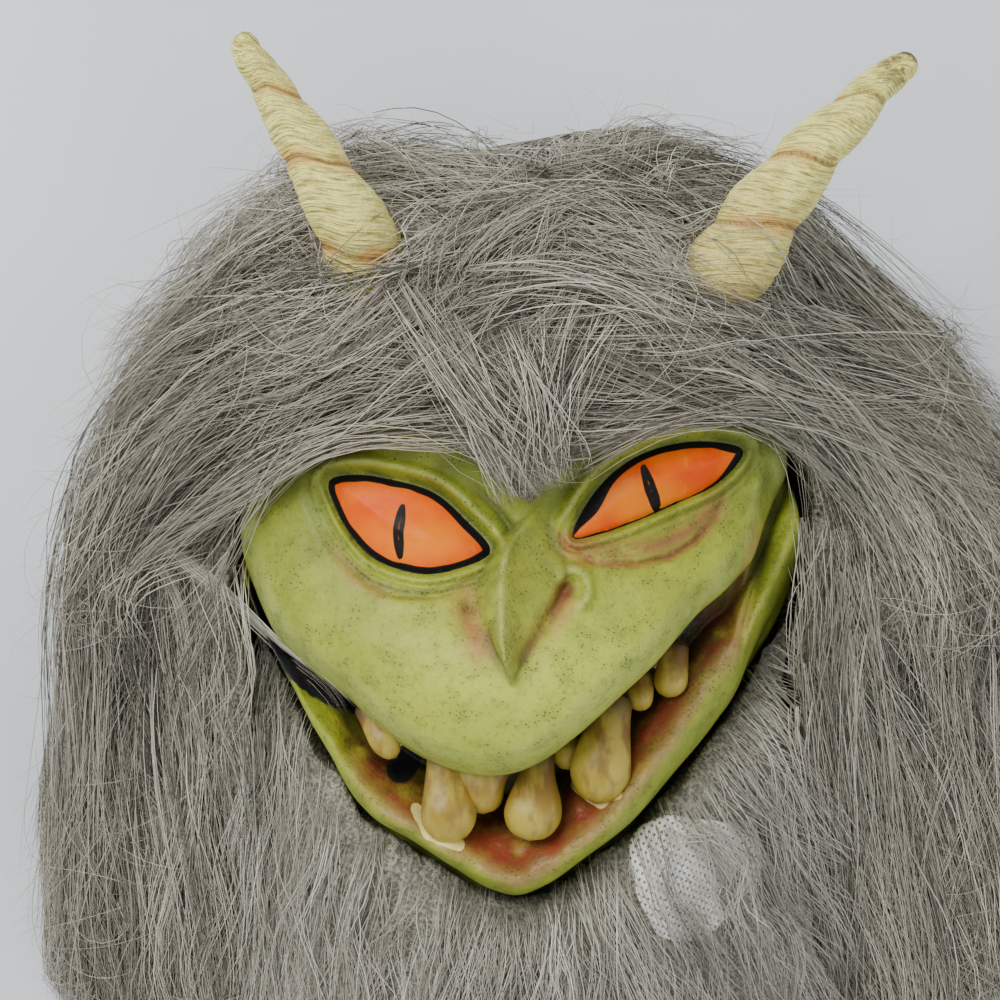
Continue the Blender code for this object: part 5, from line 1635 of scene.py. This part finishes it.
class GOBLIN_OT_beard(bpy.types.Operator):
    """Lay the fur of the beard and its bare knit patch"""
    bl_idname = "goblin.beard"
    bl_label = "Beard"

    def execute(self, context):
        """Comb the fur away from the jaw."""
        settings = context.scene.goblin
        grey = colours_of(settings)["beard"]
        finish = hair_finish("beard_grey_fur", tuple(c * 0.54 for c in grey), grey, (253, 249, 236))
        rng = np.random.default_rng(HAIR_SEED + 1)
        locks, per_lock, points = BEARD_LOCKS, 10, 10

        def cover(x, y):
            under = under_jaw(x, y)
            return (under > 0.002) & (under < 0.10) & (inside(WINDOW, x, y) > -0.006)

        def rim(x, y):
            under = under_jaw(x, y)
            return (under > 0.0) & (under < 0.012) & (np.abs(x) < 0.13)

        start = np.vstack([scatter(rng, BEARD_SPREAD, (-0.14, -0.26), (0.15, -0.01), cover),
                           scatter(rng, locks - BEARD_SPREAD, (-0.13, -0.17), (0.125, -0.01), rim)])
        length = rng.uniform(0.05, 0.13, locks)
        guide = trace(BEARD_FLOW, start, length, points, bends(rng, locks, 0.5, 7))
        level = over(beard_level, guide)
        t = np.linspace(0, 1, points)[None, :]
        lift = rng.uniform(-0.001, 0.006, locks)[:, None]
        lift = lift + 0.005 * np.sin(t * math.pi) * rng.uniform(0, 1, locks)[:, None]
        outside = smooth(0.0, 0.05, -depth_in(WINDOW, guide))
        wig = over(hair_level, guide)
        level = level * (1 - outside) + np.maximum(wig, level * 0.6) * outside
        guide = np.concatenate([guide, (level + lift)[:, :, None]], axis=2)
        owner = np.repeat(np.arange(locks), per_lock)
        path = spread(rng, guide, owner, 0.0075, 0.0030, 0.0026)
        off_u = (path[:, :, 0] - KNIT_PLACE[0]) / KNIT_SIZE[0]
        off_v = (path[:, :, 1] - KNIT_PLACE[1]) / KNIT_SIZE[1]
        far = np.hypot(off_u, off_v)
        rim_at = rng.uniform(0.15, 1.0, len(path))[:, None]
        push = np.where(far < rim_at, rim_at / np.maximum(far, 0.25), 1.0)
        path[:, :, 0] = KNIT_PLACE[0] + off_u * push * KNIT_SIZE[0]
        path[:, :, 1] = KNIT_PLACE[1] + off_v * push * KNIT_SIZE[1]
        tone = np.clip(rng.normal(0.55, 0.15, locks)[owner] + rng.normal(0, 0.20, len(owner)), 0, 1)
        width = settings.strand * rng.uniform(0.5, 1.0, len(owner))
        good = in_reach(path)
        obj = strands("beard_strands", path[good], width[good], tone[good])
        finish_piece(obj, finish, ["beard"])
        self.knit()
        return {"FINISHED"}

    def knit(self):
        """Bare patch of the knit backing, with its rows of small holes painted as dark spots, a painted
        shade.
        """
        bpy.ops.object.select_all(action="DESELECT")
        bpy.ops.mesh.primitive_grid_add(x_subdivisions=44, y_subdivisions=40, size=2)
        obj = bpy.context.object
        obj.name = "beard_knit"
        p = points_of(obj)
        square = np.maximum(np.maximum(np.abs(p[:, 0]), np.abs(p[:, 1])), 1e-6)
        scale = np.maximum(np.hypot(p[:, 0], p[:, 1]), 1e-6) / square
        wavy = 1.25 * (1 + 0.22 * noise(p[:, 0] * 1.7 + 3, p[:, 1] * 1.7, p[:, 2], 71))
        x = KNIT_PLACE[0] + p[:, 0] / scale * KNIT_SIZE[0] * wavy
        y = KNIT_PLACE[1] + p[:, 1] / scale * KNIT_SIZE[1] * wavy
        z = beard_level(x, y) - 0.0005
        move_points(obj, np.column_stack([x, y, z]))
        tool = obj.modifiers.new("wall", "SOLIDIFY")
        tool.thickness = 0.0016
        tool.offset = -1
        apply_all(obj)
        bpy.ops.object.shade_smooth()
        f = Finish("knit_backing", 0.85, 0.2)
        rows = self.rows(f)
        # Painted shade: the holes of the knit are dark spots between the light loops.
        tone = f.mix(rows, shade((128, 124, 118)), shade((240, 238, 232)))
        f.base(f.mix(f.step(f.grain(300, 4), 0.45, 0.65, 0.0, 0.3), tone, shade((196, 192, 186))))
        f.rough(f.step(f.grain(500, 3), 0.3, 0.7, 0.8, 0.92))
        f.bump(rows, 0.0012, 0.9)
        finish_piece(obj, f.material, ["beard"])

    def rows(self, f):
        """Pattern of knit loops with a dark spot, a painted shade, for the hole between them."""
        split = f.tree.nodes.new("ShaderNodeSeparateXYZ")
        turn = f.tree.nodes.new("ShaderNodeMapping")
        turn.inputs["Rotation"].default_value = (0, 0, 0.5)
        f.link(f.place, turn.inputs["Vector"])
        f.link(turn.outputs["Vector"], split.inputs["Vector"])
        a = f.sum("SINE", f.sum("MULTIPLY", split.outputs["X"], 2600.0), 0.0)
        b = f.sum("SINE", f.sum("MULTIPLY", split.outputs["Y"], 2300.0), 0.0)
        both = f.sum("MINIMUM", a, b)
        return f.step(both, 0.15, 0.6, 1.0, 0.0)


class GOBLIN_OT_stage(bpy.types.Operator):
    """Set the table, the lights and the camera"""
    bl_idname = "goblin.stage"
    bl_label = "Table, light and camera"

    def execute(self, context):
        """Pale table, soft light from the upper left and a camera above the face."""
        bpy.ops.object.select_all(action="DESELECT")
        bpy.ops.mesh.primitive_plane_add(size=8.0, location=(0, 0, 0))
        floor = context.object
        floor.name = "table"
        f = Finish("pale_table", 0.8, 0.2)
        cloud = f.grain(2.5, 4)
        f.base(f.mix(f.step(cloud, 0.3, 0.7), shade((214, 219, 224)), shade((230, 234, 238))))
        f.rough(f.step(cloud, 0.3, 0.7, 0.75, 0.85))
        floor.data.materials.append(f.material)
        for name, place, size, power, tint_of in (("key", (-0.8, 0.9, 1.5), 1.1, 38.0, (1.0, 0.985, 0.96)),
                                                  ("fill", (1.3, -0.5, 1.3), 1.6, 9.0, (0.95, 0.97, 1.0)),
                                                  ("low", (0.2, -1.6, 0.9), 1.4, 6.0, (1.0, 1.0, 1.0))):
            lamp = bpy.data.lights.new(name, "AREA")
            lamp.size = size
            lamp.energy = power
            lamp.color = tint_of
            obj = bpy.data.objects.new(name, lamp)
            obj.location = place
            aim = Vector((0.0, 0.0, 0.12)) - Vector(place)
            obj.rotation_euler = aim.to_track_quat("-Z", "Y").to_euler()
            context.scene.collection.objects.link(obj)
        world = bpy.data.worlds.new("soft_room")
        world.use_nodes = True
        world.node_tree.nodes["Background"].inputs["Color"].default_value = (0.86, 0.90, 0.95, 1.0)
        world.node_tree.nodes["Background"].inputs["Strength"].default_value = 0.66
        context.scene.world = world
        lens = bpy.data.cameras.new("camera")
        lens.lens = LENS
        lens.sensor_width = 36.0
        camera = bpy.data.objects.new("camera", lens)
        camera.location = CAMERA_PLACE
        context.scene.collection.objects.link(camera)
        context.scene.camera = camera
        return {"FINISHED"}


class GOBLIN_PT_panel(bpy.types.Panel):
    """Buttons for each piece of the mask."""
    bl_label = "Goblin mask"
    bl_idname = "GOBLIN_PT_panel"
    bl_space_type = "VIEW_3D"
    bl_region_type = "UI"
    bl_category = "Goblin mask"

    def draw(self, context):
        """List the settings and the pieces."""
        settings = context.scene.goblin
        for name in settings.bl_rna.properties.keys():
            if name not in ("rna_type", "name"):
                self.layout.prop(settings, name)
        for cls in OPERATORS:
            self.layout.operator(cls.bl_idname)


OPERATORS = (GOBLIN_OT_stage, GOBLIN_OT_skin, GOBLIN_OT_teeth, GOBLIN_OT_horns, GOBLIN_OT_under,
             GOBLIN_OT_wig, GOBLIN_OT_beard)


def register():
    """Add the classes and the settings."""
    for cls in (GoblinSettings, GOBLIN_PT_panel) + OPERATORS:
        bpy.utils.register_class(cls)
    bpy.types.Scene.goblin = bpy.props.PointerProperty(type=GoblinSettings)


def unregister():
    """Remove the classes and the settings."""
    del bpy.types.Scene.goblin
    for cls in reversed((GoblinSettings, GOBLIN_PT_panel) + OPERATORS):
        bpy.utils.unregister_class(cls)


def main():
    """Make every piece."""
    register()
    for cls in OPERATORS:
        getattr(bpy.ops.goblin, cls.bl_idname.split(".")[1])()


if __name__ == "__main__":
    main()
